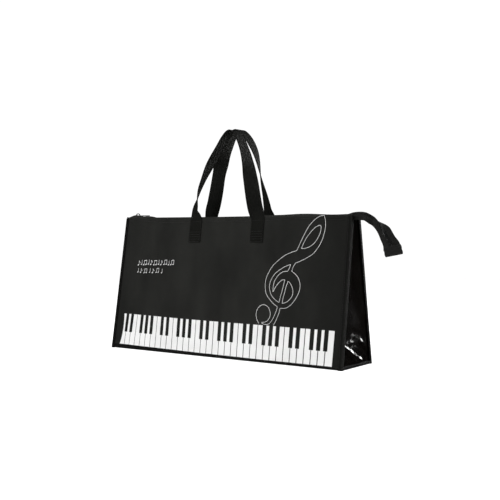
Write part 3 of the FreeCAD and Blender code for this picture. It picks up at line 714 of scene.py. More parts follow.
def gusset_x(y, z, v, end):
    """How far the gusset's outer face stands in from the end plane."""
    f = 9.5 * step((z - 16.0) / 105.0) * (1 - 0.22 * step((z - 150) / 80.0))
    shape = np.clip(1.0 - np.sqrt(v * v + 0.0022), 0, None) ** 1.12
    fold = f * shape
    yy = y if end > 0 else -y * 0.93 + 3.0
    ridge = np.zeros_like(y)
    for pts, amp, wide in CREASES:
        d, t = seg_distance(yy, z, pts)
        ends = step(t / 0.08) * step((1 - t) / 0.12)
        ridge += amp * ends * np.exp(-(d / wide) ** 1.6)
    # broad dents between the creases, and slow waves higher up
    dent = 1.6 * np.exp(-((yy + 6) / 20) ** 2 - ((z - 50) / 16) ** 2) + 1.3 * np.exp(-((yy - 20) / 16) ** 2 - ((z - 20) / 9) ** 2)
    wave_ = 0.5 * np.sin(z / 19.0 + 0.4 * end) * (1 - v * v) + 0.25 * np.sin(z / 8.3 + y / 11.0) * (1 - v * v) * (1 - step((z - 60) / 80.0))
    low = 1 - step((z - 18.0) / 42.0)
    wave_ = wave_ + low * (0.10 * np.sin(yy / 3.3 + z / 5.4) * np.sin(z / 4.3 - yy / 7.1) + 0.16 * np.sin(yy / 9.0 + z / 3.6 + 1.3))
    hold = np.clip((1 - np.abs(v)) / 0.14, 0, 1) ** 0.7 * step((z - 1.0) / 6.0)
    return fold - (ridge - dent + wave_) * hold + 1.4 * hold * (1 - step((z - 40.0) / 50.0))


GZ = np.concatenate([np.linspace(1.0, 62.0, 62), np.linspace(62.0, 229.3, 66)[1:]])
GV = np.sign(np.linspace(-1, 1, 85)) * np.abs(np.linspace(-1, 1, 85)) ** 1.0
for end, name in ((1, "right_gusset"), (-1, "left_gusset")):
    z, v = np.meshgrid(GZ, GV, indexing="ij")
    front_y, back_y = -corner_depth(z, -1) + 0.6, corner_depth(z, 1) - 0.6
    y = np.where(v < 0, -v * front_y, v * back_y)
    inset = gusset_x(y, z, v, end)
    top_w = step((z - 150.0) / 75.0)
    zz = z + top_w * 0.6 * np.abs(v)
    x = end * (half_len(z) - inset)
    out = np.stack([x, y, zz], -1)
    n = grid_normals(out)
    if (n[..., 0] * end).mean() < 0:
        n = -n
    inn = out - n * 0.8
    guv = np.stack([y, z], -1)
    g = slab("coated_" + name, out, inn, guv, mats=[MAT["gusset_vinyl"]], slot="gusset_vinyl", sharp=60)
    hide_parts(name)


# ------------------------------------------------------------------ stitches
def stitch(heap, p, d, n, long, wide=0.55, high=0.42, seed=0):
    """One stitch of thread at p, along d, on a face with normal n: a little arched bead that dives at both ends."""
    d, n = unit(d), unit(n)
    s = np.cross(n, d)
    rings = []
    for t, r, h in ((-0.5, 0.25, -0.25), (-0.40, 0.75, 0.05), (-0.15, 1.0, 0.30), (0.15, 1.0, 0.30), (0.40, 0.75, 0.05), (0.5, 0.25, -0.25)):
        c = p + d * t * long + n * (h * high)
        for a in range(6):
            q = 2 * PI * a / 6
            rings.append(c + s * math.cos(q) * wide / 2 * r + n * math.sin(q) * high / 2 * r)
    v = np.array(rings)
    f = turned(v, ring_faces(6, 6))
    k = np.repeat(np.arange(6), 6) * long / 5.0
    heap.add(v, f, np.stack([np.tile(np.arange(6), 6) * 0.3, k + seed * 0.37], -1))


def stitch_line(heap, points, normals, pitch=3.3, share=0.8, wide=0.55, high=0.42):
    """Stitches along a path of points with the face's normals."""
    p, nn = np.asarray(points, float), np.asarray(normals, float)
    s = np.r_[0, np.cumsum(np.linalg.norm(np.diff(p, axis=0), axis=1))]
    count = max(1, int(round(s[-1] / pitch)))
    step_ = s[-1] / count
    at = lambda q, a: np.array([np.interp(q, s, a[:, i]) for i in range(3)])
    for i in range(count):
        a, b = (i + (1 - share) / 2) * step_, (i + (1 + share) / 2) * step_
        pa, pb = at(a, p), at(b, p)
        stitch(heap, (pa + pb) / 2, pb - pa, at((a + b) / 2, nn), float(np.linalg.norm(pb - pa)), wide, high, i)


# ------------------------------------------------------------------ seam bindings
LEG = 6.0           # how far a corner binding reaches over the panel and over the gusset


def binding_columns(side, end, z, off):
    """Points across a corner binding at heights z: over the panel, round the corner, over the gusset."""
    cols = []
    for d in (LEG, LEG - 0.5, 4.2, 2.6, 1.2, 0.4):
        edge = 0.45 * math.exp(-((d - LEG) / 0.35) ** 2)
        cols.append(panel(side, end * (half_len(z) - d), z, off - edge * (off > 0.3))[0])
    p, n = panel(side, end * half_len(z), z)
    c = p - n * 0.5 - np.array([end * 0.3, 0, 0])
    for a in np.linspace(0, 1, 6)[1:-1]:
        r = off + 0.45
        dirn = unit(n * math.cos(a * PI / 2) + np.array([end, 0, 0]) * math.sin(a * PI / 2))
        cols.append(c + dirn * r)
    for d in (0.9, 2.0, 3.4, 4.6, LEG - 0.5, LEG):
        edge = 0.45 * math.exp(-((d - LEG) / 0.35) ** 2) * (off > 0.3)
        q = np.stack([end * (half_len(z) + off + 0.12 - edge), side * (corner_depth(z, side) - d), z + 0 * z], -1)
        cols.append(q)
    return np.stack(cols, 1)


seam_heap = Heap()
BZ = np.concatenate([np.linspace(0.05, 8, 5), np.linspace(8, 229.8, 78)[1:]])
for side, end, name in ((-1, 1, "front_right_binding"), (1, 1, "back_right_binding"), (-1, -1, "front_left_binding"), (1, -1, "back_left_binding")):
    o = binding_columns(side, end, BZ, 0.78)
    i = binding_columns(side, end, BZ, 0.06)
    across = np.r_[0, np.cumsum(np.linalg.norm(np.diff(o[10], axis=0), axis=1))]
    buv = np.stack([np.broadcast_to(across, o.shape[:2]), np.broadcast_to(BZ[:, None], o.shape[:2])], -1)
    w = np.zeros(o.shape[:2])
    w[:, 5:11] = 0.8
    # the front right binding gets the lighter, painted-light copy of the tape; the others get the copy darkened as
    # painted shade
    b = slab("seam_" + name, o, i, buv, w, mats=[MAT["lit_binding" if name == "front_right_binding" else "binding_tape"]], slot="binding_tape", sharp=55)
    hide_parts(name)
    zz = np.linspace(3.0, 228.0, 60)
    p, n = panel(side, end * (half_len(zz) - 4.5), zz, 0.80)
    stitch_line(seam_heap, p, n, 3.2, 0.78, 0.5, 0.36)
    q = np.stack([end * (half_len(zz) + 0.92), side * (corner_depth(zz, side) - 4.3), zz], -1)
    stitch_line(seam_heap, q, np.broadcast_to([end, 0.0, 0.02], q.shape), 3.2, 0.78, 0.5, 0.36)

for end, name in ((1, "right_foot_binding"), (-1, "left_foot_binding")):
    yy = np.linspace(-45.5, 45.5, 60)
    o, i = [], []
    for z, e in ((5.6, 0.2), (5.2, 0.75), (4.0, 0.85), (2.4, 0.9), (0.9, 0.88), (0.25, 0.6), (0.02, -0.4), (0.02, -3.0)):
        o.append(np.stack([end * (half_len(z) + e + 0.12 * np.sin(yy / 7.0) * (z > 0.5)), yy, np.full_like(yy, z + 0.25 * (z > 4) * np.sin(yy / 9.0))], -1))
        k = (z if z > 1.2 else 0.5, 0.05 if e > -0.3 else e)
        i.append(np.stack([np.full_like(yy, end * (half_len(z) + k[1])), yy, np.full_like(yy, k[0] + 0.25 * (z > 4) * np.sin(yy / 9.0))], -1))
    o, i = np.array(o), np.array(i)
    buv = np.stack([np.broadcast_to(np.array([5.6, 5.2, 4, 2.4, 0.9, 0.25, -0.3, -3])[:, None], o.shape[:2]), o[..., 1]], -1)
    w = np.zeros(o.shape[:2])
    w[4:6] = 0.8
    # the foot binding uses the tape darkened as painted shade
    b = slab("seam_" + name, o, i, buv, w, mats=[MAT["binding_tape"]], slot="binding_tape", sharp=55)
    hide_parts(name)
    q = np.stack([np.full_like(yy, end * 234.9), yy, np.full_like(yy, 4.1)], -1)
    stitch_line(seam_heap, q, np.broadcast_to([end, 0.0, 0.02], q.shape), 3.2, 0.78, 0.5, 0.36)


def print_low(x):
    """Lower edge of the printed keyboard, which drops a little from left to right."""
    return lerp_smooth(x, [-220, -207, -159, -100, -50, 0, 60, 110, 170, 220], [8.2, 8.1, 7.4, 6.9, 6.2, 5.9, 5.5, 5.3, 5.2, 5.1])


def print_top(x):
    return lerp_smooth(x, [-220, -173, -87, 0, 88, 150, 220], [61.8, 61.4, 60.2, 59.7, 59.3, 58.9, 58.5])


# turned strips along the foot of the front and the back
for side, name in ((-1, "front_foot_strip"), (1, "back_foot_strip")):
    u = np.linspace(-1, 1, 170)
    x0 = u * 233.6
    high = (print_low(x0) - 0.7) if side < 0 else np.full_like(x0, 6.2)
    o, i, vv = [], [], []
    for k, t in enumerate(np.linspace(0, 1, 6)):
        z = high * (1 - t) + Z_BEND * t
        z = np.maximum(z, Z_BEND)
        lip = 0.12 if k == 0 else 0.62
        o.append(panel(side, u * (half_len(z) - 0.4), z, lip)[0])
        i.append(panel(side, u * (half_len(z) - 0.4), z, 0.04)[0])
        vv.append(z)
    for t in np.linspace(math.radians(7.8), -PI / 2, 7)[1:]:
        o.append(base_bend(side, x0, np.full_like(x0, t), 0.58))
        i.append(base_bend(side, x0, np.full_like(x0, t), 0.04))
        vv.append(np.full_like(x0, 3.0 * t))
    for d in (3.0, 7.0, 10.0):
        a, b2 = o[-1].copy(), i[-1].copy()
        a[:, 1] -= side * (d if d == 3.0 else (4.0 if d == 7.0 else 3.0))
        b2[:, 1] -= side * (d if d == 3.0 else (4.0 if d == 7.0 else 3.0))
        o.append(a)
        i.append(b2)
        vv.append(np.full_like(x0, -5.0 - d))
    o, i = np.array(o), np.array(i)
    suv = np.stack([np.array(vv), o[..., 0]], -1)
    w = np.zeros(o.shape[:2])
    w[5:9] = 0.9
    # the turned strip uses the tape darkened as painted shade
    b = slab("turned_" + name, o, i, suv, w, mats=[MAT["binding_tape"]], slot="binding_tape", sharp=55)
    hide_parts(name)
    zz = high - 1.7 if side < 0 else np.full_like(x0, 4.6)
    zz = np.maximum(zz, Z_BEND - 0.2)
    p, n = panel(side, u * (half_len(zz) - 8.0), zz, 0.64)
    stitch_line(seam_heap, p, n, 3.3, 0.78, 0.5, 0.34)

seam_thread = seam_heap.build("seam_stitching", mats=[MAT["thread"]], slot="thread", sharp=70)

# topstitching of the top hems, in three runs between the handles
for side, name in ((-1, "front_hem_stitching"), (1, "back_hem_stitching")):
    heap = Heap()
    feet = (-64.3, 62.6) if side < 0 else (-62.2, 59.6)
    for a, b in ((-228.0, feet[0] - 13.2), (feet[0] + 13.2, feet[1] - 13.2), (feet[1] + 13.2, 228.0)):
        xx = np.linspace(a, b, 80)
        p, n = panel(side, xx, np.full_like(xx, 224.8), 0.06)
        stitch_line(heap, p, n, 3.3, 0.8, 0.6, 0.45)
    b = heap.build("thread_" + name, mats=[MAT["thread"]], slot="thread", sharp=70)
    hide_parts(name)


# ------------------------------------------------------------------ prints
def print_uv(p):
    return p[..., [0, 2]]


INK_LOW, INK_TOP = 0.03, 0.20
KEY_COUNT = 35
SEP = [-217.77 + 11.833 * i + 0.0333 * i * i - 0.00049 * i**3 for i in range(KEY_COUNT + 1)]
SEP[0], SEP[1], SEP[-1] = -216.2, -205.2, 217.4
LEAN_LEFT = [0.0, 2.6, 2.9, 2.5, 2.0, 1.3, 0.7, 0.3]      # how far the first lines lean inwards by the top


def key_line(i, z):
    """x of the line between keys i-1 and i at height z."""
    z = np.asarray(z, float)
    if i == 0:
        return lerp_smooth(z, [5.0, 8.0, 17.0, 27.0, 43.0, 62.0], [-217.2, -216.1, -213.4, -211.6, -210.5, -211.0])
    lean = LEAN_LEFT[i] if i < len(LEAN_LEFT) else 0.0
    return SEP[i] + lean * np.clip((z - 9.0) / 50.0, 0, 1)


BLACK = {1, 2, 4, 5, 6}
heap = Heap()
for k in range(KEY_COUNT):
    xm = 0.5 * (SEP[k] + SEP[k + 1])
    low, top = float(print_low(xm)), float(print_top(xm))
    black_low = float(np.interp(xm, [-210, 210], [30.0, 26.9]))
    left_black, right_black = (k % 7) in BLACK, ((k + 1) % 7) in BLACK
    zs = np.concatenate([np.linspace(low, black_low, 9), np.linspace(black_low, top, 12)[1:]])
    gap, bw = float(np.interp(xm, [-210, 0, 210], [0.50, 0.58, 0.78])), float(np.interp(xm, [-210, 210], [3.3, 3.8]))
    xl, xr = key_line(k, zs) + gap, key_line(k + 1, zs) - gap
    if k == 0:
        xl = key_line(0, zs)
    if k == KEY_COUNT - 1:
        xr = key_line(k + 1, zs)
    bl, br = key_line(k, zs) + bw, key_line(k + 1, zs) - bw
    X = np.stack([xl, np.maximum(xl + 0.3, bl), bl * 0.5 + br * 0.5, np.minimum(xr - 0.3, br), xr], 1)
    low_edge = print_low(X[0]) - low
    top_edge = print_top(X[0]) - top
    Z = np.broadcast_to(zs[:, None], X.shape) + (1 - (zs[:, None] - low) / (top - low)) * low_edge[None, :] + ((zs[:, None] - low) / (top - low)) * top_edge[None, :]
    mask = np.ones((X.shape[0] - 1, X.shape[1] - 1), bool)
    if left_black and k > 0:
        mask[8:, 0] = False
    if right_black and k < KEY_COUNT - 1:
        mask[8:, 3] = False
    t, b = panel(-1, X, Z, INK_TOP)[0], panel(-1, X, Z, INK_LOW)[0]
    v, f = masked_slab(t, b, mask)
    heap.add(v, turned(v, f), v[:, [0, 2]])
keys = heap.build("printed_keyboard", mats=[MAT["white_print"]], slot="white_print", sharp=30)
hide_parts("keyboard_print")

CLEF = [
    # (points, closed): outer right line, outer left line with its hook, curl, and the three openings
    ([(183.3, 230.9), (185.8, 223.1), (186.7, 217.0), (186.4, 208.4), (184.0, 197.3), (180.7, 188.7), (175.2, 180.1), (168.9, 173.3), (159.5, 167.6), (148.6, 162.4), (139.6, 159.1)], False),
    ([(139.6, 159.1), (135.7, 153.4), (133.5, 146.2)], False),
    ([(133.5, 146.2), (140.5, 141.7), (146.0, 136.3), (149.6, 129.0), (150.7, 121.7), (148.9, 113.0), (145.3, 105.4), (140.2, 97.7), (133.5, 91.2), (126.5, 88.2), (117.4, 87.7)], False),
    ([(117.4, 87.7), (116.1, 80.4), (113.8, 74.0), (110.7, 66.4), (107.4, 60.4)], False),
    ([(183.3, 230.9), (176.8, 229.6), (169.6, 225.6), (163.2, 219.5), (157.5, 212.7), (153.2, 205.2), (149.0, 197.1), (144.8, 188.4), (141.3, 180.9), (139.3, 177.4)], False),
    ([(139.3, 177.4), (127.3, 173.9), (116.0, 168.7), (106.3, 161.6), (98.0, 154.4), (92.1, 145.4), (87.6, 135.8), (85.9, 125.6), (86.9, 116.8), (89.4, 109.3), (95.4, 102.0), (103.6, 94.8), (112.3, 89.6)], False),
    ([(112.3, 89.6), (110.1, 81.3), (106.4, 72.4), (102.5, 65.9), (98.4, 61.9), (92.5, 60.8), (87.0, 61.9), (84.6, 63.8), (88.4, 64.1), (93.6, 65.6), (97.7, 69.4), (100.1, 75.8), (99.1, 82.0), (95.2, 88.1), (89.6, 91.3), (84.2, 91.6), (78.4, 88.5), (74.6, 83.2), (73.4, 75.6), (75.7, 68.1), (79.8, 62.0)], False),
    ([(147.7, 180.4), (155.4, 181.1), (163.6, 184.3), (170.2, 189.3), (175.1, 196.1), (178.6, 203.5), (179.7, 210.8), (178.9, 215.1), (175.4, 215.1), (169.5, 212.1), (163.0, 205.9), (157.3, 199.1), (153.0, 192.2), (150.0, 186.0), (147.7, 180.4)], True),
    ([(130.6, 156.7), (121.8, 153.7), (113.4, 149.1), (105.7, 143.9), (99.6, 137.4), (95.8, 129.7), (94.2, 122.1), (95.7, 114.6), (99.4, 107.2), (106.0, 101.2), (114.6, 96.6)], False),
    ([(114.6, 96.6), (116.6, 106.7), (118.8, 115.5), (120.8, 125.6), (122.1, 132.5)], False),
    ([(122.1, 132.5), (116.5, 131.7), (111.7, 127.8), (106.3, 121.3), (101.6, 112.6)], False),
    ([(101.6, 112.6), (101.3, 118.6), (102.1, 126.2), (105.2, 133.8), (110.5, 140.3), (117.5, 144.9), (126.2, 146.0)], False),
    ([(126.2, 146.0), (128.7, 150.8), (130.6, 156.7)], False),
    ([(128.4, 130.4), (133.1, 126.6), (136.6, 121.1), (138.6, 115.0), (137.8, 107.6), (133.9, 102.4), (128.5, 97.8), (120.7, 95.3)], False),
    ([(120.7, 95.3), (121.4, 103.1), (123.5, 111.9), (125.5, 122.0), (128.4, 130.4)], False),
]


def ribbon(heap, pts, wide, lift=0.0, spacing=1.2, rounds=1, taper=0.0):
    """A printed line of even width along points (x, z) on the front."""
    p = smooth_path(np.asarray(pts, float), spacing, rounds)
    t = unit(np.gradient(p, axis=0))
    n = np.stack([-t[:, 1], t[:, 0]], 1)
    w = np.full(len(p), wide)
    if taper:
        s = np.linspace(0, 1, len(p))
        w = w * (taper + (1 - taper) * np.sin(PI * np.clip(s, 0.02, 0.98)) ** 0.6)
    e = [p + n * w[:, None] * k for k in (-0.5, 0.0, 0.5)]
    X = np.stack([q[:, 0] for q in e], 1)
    Z = np.stack([q[:, 1] for q in e], 1)
    a, b = panel(-1, X, Z, INK_TOP - 0.02 + lift)[0], panel(-1, X, Z, INK_LOW)[0]
    v = np.concatenate([a.reshape(-1, 3), b.reshape(-1, 3)])
    heap.add(v, turned(v, slab_faces(*X.shape)), v[:, [0, 2]])


heap = Heap()
for k, (pts, closed) in enumerate(CLEF):
    ribbon(heap, pts, 0.54, 0.004 * (k % 4))
clef = heap.build("printed_clef", mats=[MAT["white_print"]], slot="white_print", sharp=30)


def blob(heap, x, z, rx, rz, turn, lift=0.0):
    """A filled oval, such as a note's head."""
    a = np.linspace(0, 2 * PI, 15)[:-1]
    c, s = math.cos(turn), math.sin(turn)
    px, pz = rx * np.cos(a), rz * np.sin(a)
    X, Z = x + c * px - s * pz, z + s * px + c * pz
    t, b = panel(-1, X, Z, INK_TOP + lift)[0], panel(-1, X, Z, INK_LOW)[0]
    v = np.concatenate([t, b])
    m = len(a)
    f = [tuple(range(m)), tuple(reversed(range(m, 2 * m)))] + [((i + 1) % m, i, m + i, m + (i + 1) % m) for i in range(m)]
    heap.add(v, turned(v, f), v[:, [0, 2]])


def note(heap, kind, x, z, s):
    """A small plain music note of height about 8 s, its head at (x, z)."""
    blob(heap, x, z, 1.30 * s, 0.90 * s, 0.35)
    ribbon(heap, [(x + 1.25 * s, z + 0.2 * s), (x + 1.25 * s, z + 4.0 * s), (x + 1.25 * s, z + 7.6 * s)], 0.45 * s, 0.010)
    if kind == "quaver":
        ribbon(heap, [(x + 1.2 * s, z + 7.5 * s), (x + 2.3 * s, z + 5.9 * s), (x + 3.7 * s, z + 4.9 * s), (x + 3.3 * s, z + 3.2 * s)], 0.55 * s, 0.016, 0.6)
    if kind == "pair":
        blob(heap, x + 5.2 * s, z + 0.5 * s, 1.30 * s, 0.90 * s, 0.35, 0.002)
        ribbon(heap, [(x + 6.45 * s, z + 0.7 * s), (x + 6.45 * s, z + 4.4 * s), (x + 6.45 * s, z + 8.1 * s)], 0.45 * s, 0.012)
        ribbon(heap, [(x + 0.95 * s, z + 7.3 * s), (x + 3.85 * s, z + 7.6 * s), (x + 6.70 * s, z + 7.9 * s)], 0.75 * s, 0.020)


heap = Heap()
row = [("quaver", 0.0), ("note", 1.6), ("pair", 0.6), ("note", 2.2), ("quaver", 1.2), ("pair", 0.2), ("note", 1.8), ("quaver", 0.6), ("pair", 1.4), ("note", 0.4), ("pair", 1.0)]
for x0, x1, z0, slope, items, s in ((-190.5, -104.0, 148.6, 0.022, row, 1.0), (-190.0, -128.0, 134.6, 0.024, row[3:10], 0.92)):
    wide = {"note": 6.0, "quaver": 8.0, "pair": 11.6}
    total = sum(wide[k] for k, _ in items)
    x = x0
    for kind, up in items:
        note(heap, kind, x + 1.6, z0 + slope * (x - x0) + up * 0.7, s)
        x += wide[kind] * (x1 - x0) / total
notes = heap.build("printed_notes", mats=[MAT["white_print"]], slot="white_print", sharp=30)


# ------------------------------------------------------------------ webbing handles
def strap_ring(c, w, n, half, thick):
    """Section of a webbing strap: flat, with rounded edges and a slightly thicker selvedge."""
    pts, us = [], []
    xs = np.linspace(-half + 0.9, half - 0.9, 11)
    for x in xs:
        pts.append((x, thick / 2 * (1.0 + 0.10 * (abs(x) > half - 3.2))))
        us.append(x + half)
    for a in (0.9, 0.0, -0.9):
        pts.append((half - 0.9 + 0.9 * math.cos(a), thick / 2 * math.sin(a)))
        us.append(2 * half)
    for x in xs[::-1]:
        pts.append((x, -thick / 2 * (1.0 + 0.10 * (abs(x) > half - 3.2))))
        us.append(x + half + 60)
    for a in (PI + 0.9, PI, PI - 0.9):
        pts.append((-half + 0.9 + 0.9 * math.cos(a), -thick / 2 * math.sin(PI + a) * -1 if False else thick / 2 * math.sin(a)))
        us.append(0.0)
    return [c + w * a + n * b for a, b in pts], us


FRONT_LOOP = [
    (-67.6, 242.0, 31), (-65.2, 251.0, 36), (-62.5, 261.0, 50), (-60.0, 270.5, 58), (-56.4, 280.5, 65), (-51.9, 289.8, 69), (-47.2, 298.5, 73),
    (-41.7, 308.0, 81), (-35.8, 318.3, 86), (-27.8, 329.8, 90), (-19.8, 340.5, 90), (-11.8, 351.0, 90), (-5.4, 360.2, 90), (1.2, 367.6, 90),
    (6.4, 372.2, 90), (11.2, 374.2, 90), (16.2, 372.8, 90), (21.0, 368.4, 90), (25.4, 361.8, 90), (29.8, 353.5, 88), (33.8, 344.5, 86),
    (37.4, 335.0, 82), (40.9, 322.8, 76), (43.8, 310.5, 66), (45.8, 299.0, 56), (48.3, 287.5, 49), (50.5, 275.5, 42), (52.7, 263.5, 38), (55.2, 252.0, 33), (57.4, 243.5, 27),
]
BACK_LOOP = [
    (-58.8, 243.0, 18), (-55.2, 253.5, 19), (-52.3, 264.5, 19), (-49.5, 276.0, 17), (-47.0, 288.0, 14), (-44.6, 300.0, 11), (-42.0, 311.0, 14), (-39.4, 321.0, 34),
    (-34.8, 331.6, 58), (-29.2, 342.0, 76), (-23.4, 351.5, 85), (-18.6, 360.6, 90), (-14.2, 368.6, 90), (-9.6, 374.6, 90), (-4.4, 378.2, 90), (0.8, 378.6, 90),
    (6.6, 375.4, 90), (12.4, 370.4, 90), (18.0, 363.8, 90), (23.4, 356.2, 88), (28.4, 347.4, 85), (33.0, 337.4, 79), (36.8, 325.0, 71), (39.4, 313.5, 64), (41.6, 302.6, 57),
    (44.2, 291.0, 51), (47.2, 280.0, 45), (50.3, 269.5, 40), (53.0, 258.5, 34), (55.4, 248.0, 29), (56.4, 241.0, 24),
]
HANDLE_T = 1.6
thread_heaps = {}
for side, name, loop, feet in ((-1, "front_handle", FRONT_LOOP, (-64.3, 62.6)), (1, "back_handle", BACK_LOOP, (-62.2, 59.6))):
    off = HANDLE_T / 2 + 0.06
    root = [float(panel(side, f, 233.0, off)[0][1]) for f in feet]
    rows = []
    # up the left foot, over the loop, down the right foot: centre, width direction
    foot_z = np.linspace(190.0, 229.5, 15)
    for z in foot_z:
        p, n = panel(side, feet[0], z, off)
        rows.append((*p, 1.0, 0.0))
    apex = max(p[1] for p in loop)
    first_right = [i for i, p in enumerate(loop) if p[1] == apex][0]
    for i, (x, z, a) in enumerate(loop):
        share = (z - 233.0) / (apex - 233.0)
        y_root = root[0] if i <= first_right else root[1]
        y = y_root * (1 - share) + side * 17.4 * share
        r = math.radians(a)
        sx = 1.0 if i <= first_right else -1.0
        rows.append((x, y, z, sx * math.cos(r), side * math.sin(r)))
    for z in foot_z[::-1]:
        p, n = panel(side, feet[1], z, off)
        rows.append((*p, -1.0, 0.0))
    path = smooth_path(np.array(rows), 1.8, 6)
    c = path[:, :3]
    tan = unit(np.gradient(c, axis=0))
    w = np.stack([path[:, 3], path[:, 4], np.zeros(len(path))], 1)
    w = unit(w - tan * (w * tan).sum(1, keepdims=True))
    nrm = unit(np.cross(tan, w))
    s = np.r_[0, np.cumsum(np.linalg.norm(np.diff(c, axis=0), axis=1))]
    verts, uvs, wr = [], [], []
    for i in range(len(c)):
        ring, us = strap_ring(c[i], w[i], nrm[i], 12.5, HANDLE_T)
        verts += ring
        uvs += [(q, s[i]) for q in us]
        m = len(ring)
        wr += [0.7 if (11 <= j <= 13 or j >= 25) else 0.0 for j in range(m)]
    faces = ring_faces(len(c), m)
    h = make("webbing_" + name, np.array(verts), faces, uv=np.array(uvs), wear=wr, mats=[MAT["webbing"]], slot="webbing", sharp=55, body=None)
    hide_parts(name + "_loop", name + "_left_end", name + "_right_end")
    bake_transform(h)
    # stitching of the feet
    heap = Heap()
    for f in feet:
        for z in (191.4, 195.4, 199.4, 203.4, 207.4, 225.2):
            xx = np.linspace(f - 11.2, f + 11.2, 9)
            p, n = panel(side, xx, np.full_like(xx, z), HANDLE_T + 0.10)
            stitch_line(heap, p, n, 2.9, 0.78, 0.6, 0.46)
        for dx in (-11.3, 11.3):
            zz = np.linspace(191.4, 225.2, 12)
            p, n = panel(side, np.full_like(zz, f + dx), zz, HANDLE_T + 0.08)
            stitch_line(heap, p, n, 3.1, 0.78, 0.55, 0.42)
    t = heap.build("thread_" + name + "_stitching", mats=[MAT["thread"]], slot="thread", sharp=70)
    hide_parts(name + "_stitching")


# ------------------------------------------------------------------ zip
TAPE_Z, TAPE_T, GAP = 232.0, 0.7, 2.5
SLIDER_X = -213.0


def tape_drop(x, share):
    """The sewn tape sags a little between the hem and the teeth."""
    return -0.9 * np.sin(PI * share) + 0.3 * np.sin(x / 23.0)


for side, name in ((-1, "front_zip_tape"), (1, "back_zip_tape")):
    xs = np.linspace(-228.0, 230.0, 170)
    sh = np.linspace(0, 1, 9)
    X, S = np.meshgrid(xs, sh, indexing="ij")
    hem = depth(X, np.full_like(X, 230.0), side) - 2.75
    Y = side * (GAP + (hem - GAP) * S)
    edge = edge_rise(X, side)
    Z = TAPE_Z + tape_drop(X, S) * np.clip(S * 3, 0, 1) + S * (edge - 1.6)
    top = np.stack([X, Y, Z + TAPE_T / 2], -1)
    low = np.stack([X, Y, Z - TAPE_T / 2], -1)
    tuv = np.stack([np.abs(Y) - GAP, X], -1)
    t = slab("woven_" + name, top, low, tuv, mats=[MAT["zip_tape"]], slot="zip_tape", sharp=50)
    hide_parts(name)


def tooth(heap, c, along, across, up, side, k):
    """One coil tooth: a rounded bar that reaches over the middle line, with a thicker head."""
    a, b, n = unit(along), unit(across), unit(up)
    rings = []
    for r, (s, wx, hz) in enumerate(((2.45, 0.42, 0.62), (1.6, 0.46, 0.80), (0.5, 0.48, 0.98), (-0.15, 0.52, 1.05), (-0.55, 0.34, 0.62))):
        for q in range(8):
            t = 2 * PI * (q + 0.5) / 8
            rings.append(c + b * s + a * math.cos(t) * wx + n * math.sin(t) * hz)
    v = np.array(rings)
    heap.add(v, turned(v, ring_faces(5, 8)))


PITCH = 1.5
for side, name in ((-1, "front_teeth_row"), (1, "back_teeth_row")):
    heap = Heap()
    x = SLIDER_X + 7.0 + 0.9 + (0.0 if side < 0 else PITCH / 2)
    k = 0
    while x < 213.6:
        tooth(heap, np.array([x, 0.0, TAPE_Z]), (1, 0, 0), (0, side, 0), (0, 0, 1), side, k)
        x += PITCH
        k += 1
    t = heap.build("coil_" + name, mats=[MAT["zip_teeth"]], slot="zip_teeth", sharp=50)
    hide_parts(name)


def rounded_block(heap, lo, hi, r=0.35):
    """A block with its edges cut and rounded."""
    lo, hi = np.array(lo, float), np.array(hi, float)
    c, h = (lo + hi) / 2, (hi - lo) / 2
    r = min(r, *(h * 0.6))
    v, rows_ = [], []
    zs = [(-h[2], r), (-h[2] + r * 0.3, r * 0.3), (-h[2] + r, 0.0), (h[2] - r, 0.0), (h[2] - r * 0.3, r * 0.3), (h[2], r)]
    for z, inn in zs:
        ring = []
        for sx, sy, a0 in ((1, 1, 0), (-1, 1, PI / 2), (-1, -1, PI), (1, -1, 3 * PI / 2)):
            for a in (0, PI / 4, PI / 2):
                cx, cy = sx * (h[0] - inn - r), sy * (h[1] - inn - r)
                ring.append((c[0] + cx + r * math.cos(a0 + a), c[1] + cy + r * math.sin(a0 + a), c[2] + z))
        v += ring
    v = np.array(v)
    heap.add(v, turned(v, ring_faces(len(zs), 12)))


heap = Heap()
for y0, y1 in ((-2.5, -0.5), (0.5, 2.5)):
    rounded_block(heap, (SLIDER_X - 11.0, y0, TAPE_Z - 1.2), (SLIDER_X - 8.5, y1, TAPE_Z + 1.2), 0.4)
stops = heap.build("crimped_top_stops", mats=[MAT["zip_metal"]], slot="zip_metal", sharp=50)
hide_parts("zip_top_stops")


def outline_block(heap, outline, levels):
    """Closed shape from an outline (x, y) repeated at levels (z, inset)."""
    o = np.asarray(outline, float)
    c = o.mean(0)
    v = []
    for z, inset in levels:
        d = o - c
        k = 1 - inset / np.maximum(np.linalg.norm(d, axis=1, keepdims=True), 1e-6)
        q = c + d * k
        v += [(a, b, z) for a, b in q]
    v = np.array(v)
    heap.add(v, turned(v, ring_faces(len(levels), len(o))))


def round_outline(pts, r, n=4):
    """Polygon with its corners rounded by radius r."""
    p = np.asarray(pts, float)
    out = []
    for i in range(len(p)):
        a, b, c = p[i - 1], p[i], p[(i + 1) % len(p)]
        u1, u2 = unit(a - b), unit(c - b)
        rr = min(r, 0.45 * np.linalg.norm(a - b), 0.45 * np.linalg.norm(c - b))
        s, e = b + u1 * rr, b + u2 * rr
        for t in np.linspace(0, 1, n):
            out.append((1 - t) ** 2 * s + 2 * t * (1 - t) * b + t * t * e)
    return np.array(out)


